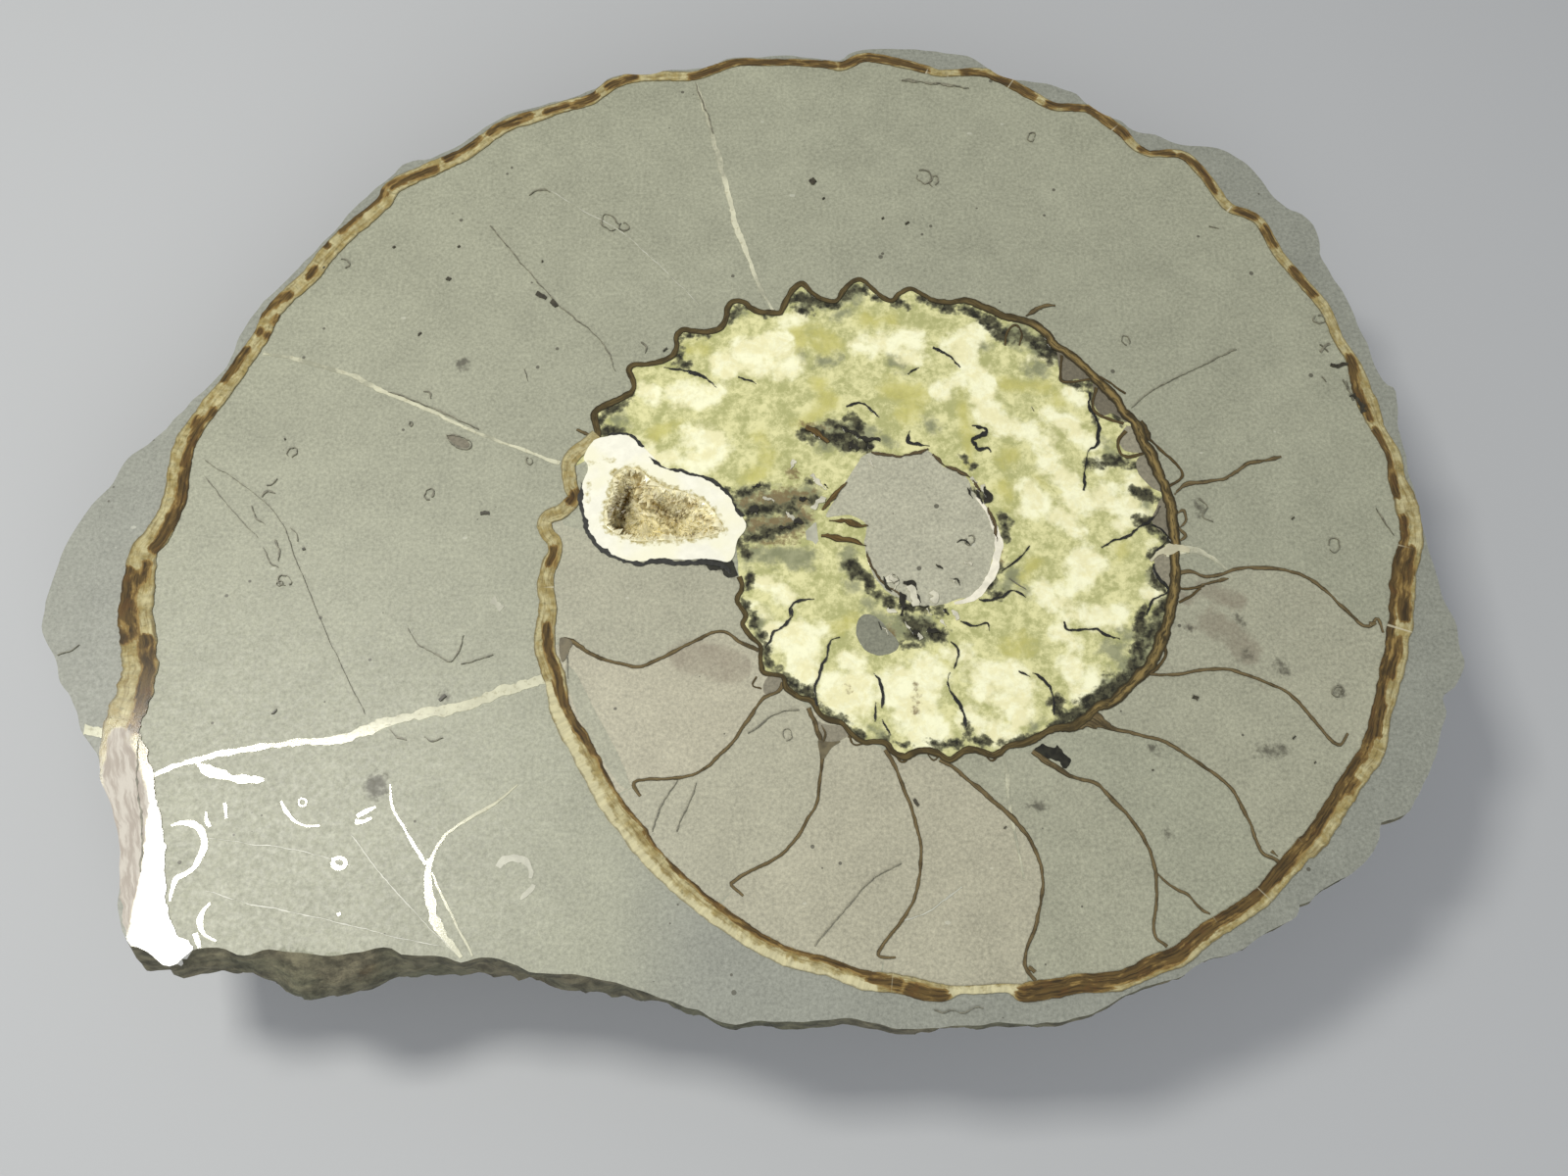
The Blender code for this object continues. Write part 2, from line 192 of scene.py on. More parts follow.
# Scalloped wall of the inner whorl, clockwise from the start of the outer whorl
INNER_WALL_PX = triples(
    577, 480, 8, 581, 469, 9, 592, 459, 9, 606, 448, 8, 610, 442, 8, 607, 431, 7, 606, 423, 7, 610, 417, 7,
    636, 404, 6, 646, 396, 6, 645, 385, 6, 642, 377, 6, 648, 371, 6, 661, 371, 6, 675, 368, 6, 686, 362, 6,
    690, 352, 6, 690, 343, 6, 696, 336, 6, 705, 337, 6, 721, 338, 6, 734, 335, 6, 740, 325, 6, 743, 314, 6,
    749, 307, 6, 759, 308, 6, 766, 314, 6, 774, 317, 6, 786, 318, 6, 797, 318, 6, 803, 304, 6, 811, 293, 6,
    819, 289, 6, 828, 297, 5, 837, 304, 5, 849, 307, 5, 855, 305, 5, 860, 297, 5, 868, 288, 5, 879, 285, 5,
    889, 293, 5, 899, 302, 5, 910, 306, 5, 918, 299, 5, 929, 294, 5, 941, 300, 5, 952, 306, 5, 967, 308, 6,
    979, 306, 6, 990, 307, 8, 1021, 320, 8, 1052, 329, 8, 1067, 339, 9, 1076, 351, 9, 1096, 364, 9,
    1134, 402, 11, 1147, 420, 11, 1159, 433, 12, 1168, 452, 12, 1175, 465, 12, 1191, 503, 11, 1196, 524, 11,
    1199, 558, 11, 1199, 575, 11, 1199, 594, 11, 1191, 636, 12, 1177, 671, 12, 1165, 686, 12, 1136, 714, 11,
    1120, 721, 9, 1108, 732, 9, 1094, 741, 9, 1076, 743, 8, 1048, 757, 8, 1030, 761, 7, 1021, 768, 7,
    1012, 770, 7, 1000, 766, 7, 987, 765, 7, 978, 770, 7, 969, 775, 7, 959, 770, 7, 948, 765, 7, 935, 766, 7,
    923, 772, 7, 912, 768, 7, 905, 759, 6, 894, 756, 6, 882, 757, 6, 869, 749, 6, 859, 738, 6, 846, 734, 6,
    835, 727, 6, 828, 715, 6, 816, 711, 6, 803, 702, 6, 799, 690, 5, 787, 688, 5, 778, 685, 5, 776, 671, 5,
    776, 659, 5, 767, 650, 5, 758, 637, 5, 761, 627, 5, 752, 612, 5, 757, 599, 5, 754, 588, 5,
)

# Loops and small chambers on the inner wall's right side
WALL_LOOPS_PX = (
    (2.72, 1084, 362, 1082, 381, 1086, 389, 1113, 386), (3.26, 1119, 395, 1115, 414, 1122, 423, 1147, 431),
    (3.26, 1149, 439, 1142, 448, 1143, 462, 1153, 466, 1168, 462),
    (2.72, 1170, 444, 1184, 458, 1201, 473, 1207, 485, 1193, 496), (9.5, 1163, 430, 1169, 437, 1168, 446),
    (2.04, 1120, 382, 1134, 391, 1149, 401), (2.04, 1026, 352, 1027, 340, 1036, 331, 1043, 340, 1041, 352),
    (2.72, 1205, 583, 1203, 592, 1205, 600, 1216, 600, 1229, 596), (2.72, 1226, 600, 1216, 607, 1203, 614),
    (3.4, 1188, 655, 1190, 668, 1181, 680, 1168, 690), (2, 866, 749, 871, 759, 881, 758),
    (2, 913, 768, 921, 777, 931, 769), (2, 944, 765, 952, 775, 960, 770),
    (2, 1004, 767, 1012, 776, 1021, 769), (2, 772, 690, 768, 699, 777, 702),
)

# Septa, each from the inner whorl to the shell wall, from the left round to the right
SEPTA_PX = [triples(*row) for row in (
    (774, 663, 4.3, 754, 654, 3.4, 742, 645, 3.4, 727, 645, 3.4, 710, 653, 3.4, 674, 671, 3.4, 656, 679, 3.4,
     636, 678, 3.4, 617, 673, 3.4, 599, 664, 4.3, 585, 655, 5.2, 574, 652, 5.2),
    (799, 696, 4.3, 795, 704, 3.4, 781, 711, 3.4, 772, 721, 3.4, 749, 754, 3.4, 733, 771, 3.4, 719, 784, 3.4,
     701, 792, 3.4, 661, 795, 3.4, 649, 797, 3.4, 647, 802, 3.4, 653, 812, 2.6),
    (825, 722, 6, 832, 738, 5.2, 839, 761, 4.3, 838, 784, 3.4, 833, 819, 3.4, 824, 836, 3.4, 813, 854, 3.4,
     797, 872, 3.4, 761, 891, 3.4, 749, 899, 3.4, 746, 903, 3.4, 758, 914, 2.6),
    (903, 765, 4.3, 910, 775, 4.3, 917, 791, 3.4, 935, 840, 3.4, 940, 875, 3.4, 933, 916, 3.4, 919, 940, 3.4,
     904, 960, 3.4, 896, 973, 3.4, 901, 977, 3.4, 914, 977, 2.6),
    (959, 775, 4.3, 982, 790, 4.3, 1035, 837, 5.2, 1058, 870, 4.3, 1064, 901, 3.4, 1058, 941, 3.4,
     1049, 966, 3.4, 1046, 981, 4.3, 1049, 991, 4.3, 1057, 1000, 4.3),
    (1054, 766, 6, 1076, 782, 5.2, 1097, 793, 4.3, 1120, 800, 4.3, 1140, 820, 4.3, 1158, 840, 3.4,
     1170, 859, 3.4, 1177, 879, 3.4, 1180, 902, 3.4, 1180, 922, 3.4, 1178, 942, 3.4, 1180, 957, 3.4,
     1191, 966, 3.4),
    (1108, 732, 7.7, 1129, 741, 5.2, 1174, 752, 3.4, 1194, 759, 3.4, 1229, 782, 3.4, 1254, 802, 3.4,
     1267, 822, 3.4, 1276, 840, 3.4, 1283, 859, 3.4, 1289, 871, 3.4, 1301, 877, 4.3, 1308, 882, 3.4),
    (1174, 687, 4.3, 1188, 688, 3.4, 1206, 687, 3.4, 1227, 683, 3.4, 1249, 682, 3.4, 1269, 687, 3.4,
     1290, 695, 3.4, 1308, 703, 3.4, 1326, 717, 3.4, 1351, 747, 3.4, 1360, 756, 3.4, 1367, 760, 3.4,
     1371, 757, 3.4, 1376, 748, 2.6),
    (1205, 583, 4.3, 1217, 583, 3.4, 1229, 588, 3.4, 1243, 586, 3.4, 1269, 579, 3.4, 1300, 580, 3.4,
     1318, 583, 3.4, 1336, 590, 3.4, 1354, 603, 3.4, 1386, 634, 3.4, 1395, 639, 3.4, 1401, 637, 3.4,
     1404, 631, 3.4, 1408, 633, 3.4, 1412, 645, 2.6),
)]
SEPTUM_SCRAPS_PX = (
    (3.9, 1199, 504, 1206, 496, 1215, 492, 1231, 491, 1248, 488, 1254, 485, 1262, 481, 1274, 473, 1290, 470,
     1308, 466), (2.8, 1182, 891, 1195, 904, 1213, 914, 1227, 928, 1235, 933),
    (9, 1108, 732, 1119, 729, 1127, 737, 1136, 743), (4, 1047, 322, 1058, 315, 1068, 311, 1077, 311),
    (3.3, 1226, 596, 1240, 593, 1254, 590), (5, 588, 438, 597, 441, 604, 443), (8, 1398, 636, 1404, 634),
    (9.5, 1050, 986, 1056, 992), (8.5, 1298, 868, 1304, 874), (2, 838, 740, 842, 748, 840, 757),
    (3, 862, 739, 867, 746, 865, 752), (3, 1201, 524, 1208, 520, 1210, 530, 1204, 538),
    (3, 1203, 538, 1210, 546, 1203, 552), (8, 1096, 744, 1108, 738, 1120, 741),
)

# Feet of the septa, filled with brown shell, and little rooms beside them
SEPTUM_FEET_PX = [pairs(*row) for row in (
    (571, 651, 578, 651, 584, 655, 581, 662, 578, 670, 573, 675, 571, 667),
    (835, 755, 846, 757, 858, 756, 848, 763, 843, 770, 839, 775, 836, 765),
)]
SIDE_ROOMS_PX = [pairs(*row) for row in (
    (832, 736, 845, 739, 860, 741, 866, 748, 858, 755, 848, 757, 840, 758, 835, 752),
    (786, 688, 794, 687, 799, 693, 797, 701, 789, 706, 781, 708, 779, 698),
    (456, 444, 464, 444, 474, 448, 479, 453, 475, 456, 466, 454, 459, 449),
)]

# A sliver of grey between the second chamber's limestone and the shell wall
WALL_GAP_PX = pairs(
    578, 678, 590, 690, 602, 715, 616, 742, 632, 772, 643, 802, 634, 802, 620, 785, 604, 757, 590, 730,
    579, 700,
)

# The line that closes the first chamber under the hollow's white rim
FIRST_CHAMBER_PX = pairs(754, 588, 731, 565, 672, 558, 634, 558, 604, 543, 575, 535)
WALL_GAP_WARMTH = 0.2
CHAMBER_WARMTHS = (0.45, 1.0, 0.6, 0.8, 0.85, 0.15, 0.0, 0.2, 0.3)

# The calcite of the inner whorls ends on this line, under the hollow's white rim
CALCITE_END_PX = pairs(
    752, 565, 750, 545, 741, 520, 722, 499, 700, 490, 676, 484, 658, 470, 640, 460, 615, 461, 596, 470,
)

HOLLOW_MOUTH_PX = pairs(
    627, 481, 649, 477, 663, 488, 681, 497, 699, 502, 716, 509, 727, 520, 734, 531, 738, 541, 720, 547,
    699, 550, 672, 551, 650, 552, 634, 547, 622, 540, 616, 531, 618, 516, 625, 499,
)
HOLLOW_RIM_PX = pairs(
    606, 449, 620, 445, 634, 443, 645, 447, 663, 462, 674, 474, 688, 479, 716, 486, 731, 493, 741, 502,
    757, 527, 761, 538, 753, 550, 749, 566, 743, 573, 731, 571, 713, 570, 699, 571, 672, 570, 652, 573,
    634, 569, 616, 562, 604, 550, 597, 536, 593, 500, 600, 478, 596, 466,
)
FRINGE_WIDTH_PX = 7
RIM_TINGE_PX = ((1.5, 600, 472, 614, 468, 628, 470), (1, 600, 490, 599, 512))
# Painted shade in the hollow's crevices, dark olive-brown: width, then x and y of each point
CREVICE_SHADE_PX = (
    (8, 638, 490, 630, 510, 628, 530, 633, 542), (5, 664, 505, 680, 510, 698, 514), (5, 696, 539, 707, 541),
)
HOLLOW_LINING_PX = (
    (2.72, 656, 456, 645, 445, 634, 441, 620, 444),
    (3.57, 663, 465, 674, 474, 688, 479, 702, 482, 716, 486, 731, 493, 741, 502, 750, 515, 757, 527), (4.33,
     593, 492, 592, 505, 594, 518, 597, 536, 604, 550, 616, 563, 634, 571, 652, 575, 672, 572, 699, 573,
     716, 573, 731, 575, 740, 579, 747, 585),
)

UMBILICUS_PX = pairs(
    879, 466, 894, 460, 919, 465, 942, 458, 951, 462, 963, 475, 986, 486, 993, 500, 1007, 516, 1011, 531,
    1016, 554, 1012, 573, 1007, 592, 993, 607, 976, 611, 959, 617, 938, 617, 923, 611, 907, 604, 894, 590,
    886, 573, 882, 554, 884, 535, 867, 525, 844, 527, 846, 519, 856, 502, 875, 472,
)
UMBILICUS_CRESCENT_PX = triples(
    996, 507, 2, 1008, 522, 4, 1015, 537, 6, 1019, 556, 8, 1015, 579, 9, 1004, 599, 8, 990, 610, 6,
    974, 615, 3,
)
UMBILICUS_EDGE_PX = (
    (2.8, 889, 462, 905, 464, 920, 466, 940, 460, 947, 457),
    (3, 952, 463, 964, 475, 980, 481, 990, 487, 1000, 501), (3.2, 1007, 518, 1013, 532, 1017, 552),
    (3, 884, 562, 890, 578, 898, 590, 912, 602, 924, 612),
)
GREY_PATCH_PX = pairs(
    876, 631, 886, 626, 897, 631, 907, 643, 917, 655, 912, 665, 896, 668, 882, 662, 874, 647,
)

# White veins: x, y and width
VEINS_PX = [triples(*row) for row in (
    (268, 360, 3, 306, 367, 4, 357, 382, 4, 378, 392, 6, 398, 402, 4, 434, 416, 3.5, 485, 440, 3,
     571, 472, 4),
    (710, 84, 2.5, 722, 120, 4, 735, 165, 5, 747, 212, 5, 754, 238, 6, 762, 258, 4, 775, 290, 3.5,
     788, 316, 3),
    (153, 792, 4, 168, 785, 5, 204, 774, 6, 255, 763, 6, 306, 757, 7, 330, 757, 8, 357, 751, 9, 383, 741, 11,
     408, 732, 10, 434, 728, 10, 460, 723, 10, 485, 716, 10, 520, 702, 10, 540, 697, 9, 559, 690, 8),
    (84, 742, 11, 97, 746, 11, 112, 749, 12), (398, 800, 1.5, 400, 824, 2, 418, 855, 3, 434, 882, 4),
    (528, 800, 1, 505, 819, 2.5, 462, 845, 3.5, 449, 858, 4, 440, 878, 5),
    (438, 876, 5, 435, 900, 8, 438, 920, 9, 445, 940, 9, 456, 958, 7, 470, 977, 4),
    (440, 890, 2, 450, 912, 2.5, 462, 937, 2.5, 482, 975, 2),
    (1190, 565, 7, 1203, 562, 9, 1220, 560, 7, 1234, 566, 5, 1246, 575, 3, 1255, 584, 2),
    (1024, 768, 3, 1028, 790, 4, 1030, 819, 3, 1045, 896, 2),
)]
FAINT_VEINS_PX = [triples(*row) for row in (
    (268, 360, 30, 330, 374, 30, 370, 388, 20), (490, 442, 20, 500, 448, 20), (709, 84, 30, 735, 170, 30),
    (776, 285, 20, 788, 316, 24), (1215, 560, 12, 1255, 584, 20), (1024, 768, 40, 1045, 896, 60),
)]
CROSSING_VEIN_PX = triples(1174, 572, 2, 1182, 564, 5, 1194, 561, 9, 1206, 560, 8, 1214, 562, 5)
FRAGMENTS_PX = [triples(*row) for row in (
    (199, 778, 2, 211, 784, 11, 226, 790, 11, 233, 792, 7, 243, 794, 9, 258, 795, 9, 269, 795, 3),
    (174, 842, 2, 186, 839, 5, 199, 842, 7, 207, 851, 7, 207, 865, 7, 200, 881, 6, 188, 892, 5, 179, 897, 6,
     175, 908, 4, 173, 919, 3), (214, 921, 3, 206, 932, 6, 203, 943, 6, 208, 954, 4, 220, 960, 2),
    (199, 952, 6, 201, 960, 6, 203, 967, 4), (229, 819, 3, 230, 827, 3, 230, 835, 3),
    (286, 817, 2, 291, 827, 4, 300, 837, 3, 311, 842, 2, 326, 842, 3),
    (306, 814, 2, 312, 816, 2, 311, 822, 2, 305, 821, 2, 305, 815, 2),
    (338, 877, 4, 347, 875, 4, 352, 880, 4, 348, 885, 4, 341, 884, 6, 338, 879, 4),
    (364, 833, 4, 373, 828, 5, 383, 823, 3), (362, 838, 5, 371, 838, 5, 379, 834, 3),
    (345, 931, 4, 346, 934, 4), (210, 828, 3, 211, 838, 4, 214, 843, 3),
)]
PALE_MARKS_PX = [triples(*row) for row in (
    (507, 884, 5, 512, 877, 7, 522, 876, 7, 534, 878, 6, 541, 886, 5, 541, 896, 4),
    (531, 918, 4, 540, 909, 5, 544, 902, 3), (500, 613, 8, 512, 621, 7), (822, 542, 17, 834, 541, 19),
)]

# Fine lines: cracks and thin shells, pale ones where the calcite in them shows
PALE_LINES_PX = (
    (0.8, 212, 855, 258, 861, 306, 868, 357, 883),
    (0.9, 209, 909, 250, 921, 291, 929, 345, 941, 388, 952, 420, 960, 449, 965),
    (0.8, 357, 850, 388, 891, 429, 937, 464, 972), (0.7, 561, 194, 600, 217, 633, 235, 680, 277, 714, 311),
    (1.3, 920, 940, 950, 928, 982, 905),
)
DARK_LINES_PX = (
    (0.4, 209, 469, 255, 500, 286, 531, 306, 582, 337, 656, 372, 728),
    (0.7, 500, 230, 561, 301, 600, 335, 617, 352, 628, 378),
    (0.7, 1155, 416, 1170, 402, 1215, 378, 1262, 356), (0.6, 920, 881, 890, 897, 860, 931, 831, 965),
    (1.1, 815, 723, 800, 726, 786, 732, 763, 748), (0.8, 692, 796, 679, 814, 671, 828, 665, 848),
    (0.7, 710, 798, 701, 823, 690, 848), (1.8, 920, 81, 940, 83, 965, 86, 989, 89),
    (1, 953, 1031, 962, 1034, 972, 1031, 984, 1033, 994, 1028, 1004, 1029),
    (1, 1405, 518, 1413, 531, 1423, 546), (1, 1234, 230, 1244, 232), (0.9, 1347, 351, 1355, 359),
    (1, 1374, 388, 1377, 398), (1.1, 654, 349, 659, 353, 658, 360), (0.9, 398, 744, 404, 752, 414, 755),
    (0.9, 432, 752, 440, 757, 452, 752), (1, 416, 640, 425, 656, 440, 665, 459, 674, 468, 662, 474, 648),
    (1, 272, 496, 278, 494, 283, 488), (0.9, 470, 677, 487, 672, 503, 668), (0.7, 58, 668, 72, 664, 81, 658),
    (0.7, 1030, 590, 1047, 601), (0.9, 348, 264, 354, 265, 357, 270, 352, 273),
    (0.9, 432, 399, 438, 400, 440, 406), (0.8, 534, 376, 538, 388),
    (0.9, 540, 199, 548, 194, 556, 193, 561, 196), (1.1, 709, 84, 720, 112, 728, 136),
    (0.8, 396, 399, 434, 413, 488, 438), (1, 579, 668, 579, 682, 580, 692),
    (1.3, 1347, 358, 1353, 353, 1358, 351), (1.5, 1370, 387, 1377, 400, 1381, 408),
    (0.9, 1349, 384, 1354, 389),
    (1.1, 455, 443, 463, 443, 474, 447, 480, 453, 476, 457, 466, 455, 458, 449, 455, 443),
    (0.9, 1224, 508, 1232, 516, 1228, 527, 1238, 533),
    (1.6, 143, 748, 141, 770, 140, 800, 144, 830, 145, 860, 143, 890), (1.3, 256, 516, 261, 527, 270, 534),
    (1.1, 281, 550, 284, 562, 283, 572), (1.8, 295, 538, 302, 545, 303, 552),
    (1, 268, 558, 275, 574, 284, 578), (1.2, 266, 506, 273, 500, 281, 502),
    (0.5, 209, 486, 236, 520, 262, 548),
)
RINGS_PX = (
    (437, 504, 5, 1.3), (622, 227, 8, 0.9), (1053, 139, 4, 0.9), (943, 180, 7, 0.9), (1149, 347, 4.5, 1),
    (636, 231, 4, 0.8), (803, 750, 5, 1.6), (953, 184, 5, 0.9), (290, 592, 6, 0.9), (1366, 705, 5, 1),
    (298, 461, 5, 0.6), (1362, 556, 6, 0.6), (990, 551, 4.5, 1), (912, 590, 5, 1.2), (419, 432, 2.5, 0.8),
    (1346, 325, 5, 0.9), (285, 595, 3, 0.7), (540, 470, 3, 0.6),
)
DARK_SPOTS_PX = (
    (3, 552, 266, 553, 267), (3, 547, 299, 552, 301, 557, 304), (4.5, 456, 283, 459, 285),
    (4.5, 678, 356, 679, 357), (3, 308, 560, 311, 559), (3, 490, 523, 499, 522), (3, 427, 340, 428, 341),
    (2.5, 290, 447, 291, 448), (4.5, 827, 186, 832, 183), (4, 839, 202, 840, 203), (3, 900, 222, 901, 223),
    (3, 926, 226, 927, 227), (5, 1217, 711, 1222, 714), (4, 1177, 784, 1178, 785), (4, 1320, 752, 1321, 753),
    (3.5, 1342, 777, 1343, 778), (3.5, 1025, 844, 1026, 845), (6.5, 280, 725, 281, 726),
    (7.5, 452, 709, 454, 711), (3, 1319, 528, 1320, 529), (3, 932, 816, 937, 822),
    (3.3, 562, 307, 566, 309, 568, 312), (2.5, 467, 251, 468, 252), (6, 1381, 402, 1387, 411, 1393, 420),
    (3, 1358, 371, 1366, 373, 1376, 371), (3, 400, 252, 401, 253), (2, 330, 272, 331, 273),
)

# Black sutures in the calcite
SUTURES_PX = (
    (2.4, 677, 375, 698, 377, 719, 385, 731, 395), (2.32, 753, 385, 762, 387, 772, 390),
    (2, 952, 354, 969, 362, 980, 374), (2.48, 926, 381, 932, 377, 938, 375),
    (2.4, 864, 415, 872, 411, 880, 412, 890, 419, 898, 425),
    (4.44, 992, 433, 1003, 436, 1008, 442, 998, 446, 990, 448, 996, 452, 1000, 456, 1008, 457, 1011, 461),
    (2.56, 928, 439, 926, 446, 928, 451, 938, 452, 949, 454), (2.56, 1052, 415, 1055, 419), (2.16, 1113, 399,
     1111, 414, 1117, 424, 1120, 433, 1120, 452, 1111, 459, 1108, 470, 1107, 481, 1106, 500),
    (2.4, 1125, 559, 1136, 551, 1153, 545, 1162, 537, 1171, 533, 1179, 524, 1184, 516),
    (1.6, 1175, 535, 1186, 541, 1192, 549, 1186, 558, 1178, 565),
    (2.08, 1178, 575, 1181, 587, 1191, 601, 1183, 608, 1175, 613, 1170, 627),
    (2.32, 1086, 634, 1090, 641, 1100, 642, 1118, 642, 1130, 648, 1143, 651),
    (2.08, 1054, 686, 1063, 692, 1070, 700, 1075, 711, 1076, 729), (1.6, 1040, 684, 1051, 691),
    (2, 809, 620, 808, 629, 803, 636, 795, 641, 789, 645, 786, 653, 782, 661),
    (2.08, 857, 650, 849, 652, 845, 658, 842, 670, 838, 679, 836, 690, 832, 702, 834, 720),
    (2, 892, 686, 898, 695, 900, 706, 900, 722), (1.6, 895, 716, 893, 726, 892, 736),
    (1.6, 900, 734, 904, 742, 909, 750), (1.52, 971, 654, 977, 662, 977, 671, 974, 682),
    (2.16, 970, 686, 966, 692, 967, 700, 973, 711, 980, 720, 984, 730, 985, 742),
    (1.52, 980, 633, 994, 638, 1007, 635, 1010, 643),
    (1.52, 1022, 583, 1030, 577, 1037, 571, 1045, 565, 1051, 556),
    (1.92, 999, 611, 1010, 612, 1022, 609, 1034, 602, 1047, 609),
    (1.52, 831, 611, 821, 611, 812, 613, 807, 621, 806, 630),
)

# Patches in the calcite, as strokes with their widths: white cloud, clear green, clay, brown
WHITE_PATCHES_PX = (
    (28, 696, 404, 722, 400), (32.7, 744, 372, 764, 358, 790, 352), (22, 776, 372, 808, 374),
    (30, 708, 444, 730, 456, 712, 470), (17, 660, 470, 690, 466), (13, 656, 398, 668, 404),
    (10, 800, 326, 816, 322), (24, 882, 352, 904, 346, 930, 346), (16, 924, 360, 936, 368),
    (18, 972, 350, 992, 344, 1006, 336), (18, 962, 396, 980, 388),
    (23.5, 984, 358, 996, 380, 1004, 406, 1012, 424), (20, 1022, 432, 1052, 440), (12, 1060, 366, 1078, 362),
    (14, 1094, 398, 1104, 408), (17, 1074, 424, 1096, 430), (16, 1102, 444, 1114, 450),
    (22.7, 1066, 452, 1072, 476, 1092, 492), (20, 1050, 500, 1062, 514, 1050, 520),
    (28.7, 1096, 508, 1128, 508, 1148, 514), (16, 1156, 486, 1158, 494), (21, 1084, 528, 1094, 540),
    (13, 1142, 536, 1164, 524), (22.7, 1104, 566, 1100, 590, 1086, 604), (14, 1118, 570, 1122, 574),
    (17, 1062, 600, 1076, 612), (18.7, 1092, 626, 1130, 632, 1146, 628), (18, 1084, 646, 1096, 656),
    (19.3, 1092, 680, 1102, 704, 1118, 692), (8, 1176, 552, 1174, 560), (10, 1174, 604, 1180, 606),
    (30.7, 1000, 684, 1028, 690, 1044, 706), (24.7, 988, 730, 1006, 742, 1026, 750),
    (23, 1004, 704, 1040, 728), (44.5, 918, 700, 944, 690, 934, 724, 946, 744),
    (35.3, 850, 706, 872, 704, 870, 726), (17, 866, 672, 872, 676),
    (29.5, 796, 650, 820, 652, 818, 676, 822, 692), (14, 808, 638, 840, 644),
    (20.7, 780, 598, 798, 604, 806, 612), (9, 770, 616, 782, 622), (13, 966, 664, 990, 668),
    (12, 1122, 470, 1124, 474), (18, 640, 455, 662, 462),
)
GREEN_PATCHES_PX = (
    (25.3, 806, 344, 830, 342, 846, 352), (13, 800, 350, 808, 356), (20, 776, 446, 784, 466, 766, 486),
    (16, 700, 356, 716, 352), (14, 880, 322, 892, 330), (18, 836, 392, 846, 410, 820, 430),
    (27.3, 910, 396, 932, 402, 924, 420), (12, 912, 330, 906, 324), (19, 1024, 470, 1034, 460),
    (15, 1024, 496, 1030, 510), (12, 1056, 574, 1044, 590), (21, 1046, 656, 1030, 662),
    (12, 960, 664, 964, 672), (15, 868, 634, 850, 640), (9, 1060, 488, 1066, 494),
    (13.3, 1026, 392, 1074, 394, 1080, 412), (13, 1148, 560, 1142, 572), (15, 690, 430, 670, 444),
    (8, 980, 396, 990, 470),
)
DARK_PATCHES_PX = (
    (9, 612, 430, 620, 418, 638, 410, 644, 402), (11, 616, 440, 630, 438),
    (7, 694, 366, 693, 350, 702, 341, 722, 341), (9, 690, 370, 700, 371),
    (6.7, 745, 326, 752, 313, 762, 312), (4, 778, 320, 798, 322),
    (12, 806, 306, 818, 302, 832, 308, 850, 311), (8, 812, 313, 826, 318),
    (9.7, 862, 302, 872, 294, 884, 295), (5.5, 893, 303, 910, 308), (10.5, 916, 306, 924, 310),
    (10, 940, 304, 962, 312, 984, 314, 1004, 324),
    (16.4, 1006, 326, 1026, 342, 1048, 344, 1074, 354, 1082, 362), (11, 1062, 358, 1070, 366),
    (9, 1084, 368, 1086, 386, 1100, 392, 1116, 393), (5.7, 1112, 398, 1116, 416, 1120, 434),
    (8, 1136, 418, 1146, 430), (11.5, 1112, 472, 1130, 470, 1150, 470, 1166, 476),
    (11.3, 1160, 500, 1172, 506, 1182, 508), (10, 1162, 530, 1172, 532, 1184, 544, 1193, 552),
    (7, 1174, 566, 1190, 560), (7.7, 1176, 580, 1176, 590, 1190, 604), (17.1, 1192, 614, 1182, 626,
     1174, 640, 1164, 660, 1160, 676, 1150, 690, 1136, 702, 1118, 714, 1104, 720),
    (12, 1166, 622, 1164, 640), (6, 1128, 690, 1128, 700),
    (14.5, 1078, 716, 1084, 730, 1100, 728, 1076, 740), (6, 1062, 752, 1020, 758, 1004, 756),
    (9.3, 986, 742, 988, 752, 1002, 756), (6.3, 978, 758, 966, 760, 948, 758),
    (5.3, 930, 760, 914, 758, 900, 750), (6.8, 880, 752, 862, 736, 848, 728, 836, 722),
    (5.5, 832, 714, 830, 702), (10.5, 826, 706, 812, 704, 804, 694, 792, 684),
    (8.7, 784, 678, 782, 662, 776, 648), (7.7, 770, 636, 766, 624, 758, 614), (7.5, 764, 598, 766, 584),
    (16.5, 822, 442, 840, 446, 862, 450, 884, 456), (8.7, 846, 430, 858, 434, 868, 438),
    (11, 868, 426, 880, 440), (10, 754, 503, 766, 501, 779, 495), (12.3, 764, 519, 786, 519, 808, 520),
    (7.7, 814, 509, 824, 511, 831, 509), (8, 760, 548, 774, 547, 788, 546),
    (9.7, 776, 542, 796, 540, 814, 533), (4.5, 816, 528, 822, 532), (4.3, 741, 500, 752, 518, 762, 536),
    (5, 762, 540, 753, 552, 753, 562), (7, 826, 490, 832, 496), (10, 756, 558, 762, 566),
    (12, 1024, 526, 1027, 534, 1024, 546), (8.2, 1018, 576, 1014, 592, 1006, 604, 1022, 606),
    (6, 1002, 500, 1006, 508), (4.5, 994, 500, 1000, 512), (5, 982, 464, 994, 476),
    (14.7, 868, 574, 876, 586, 888, 596), (11.2, 896, 606, 910, 614, 926, 618, 950, 622, 962, 622),
    (15.2, 924, 632, 944, 636, 930, 648, 950, 648, 962, 648), (7, 918, 658, 940, 658),
)
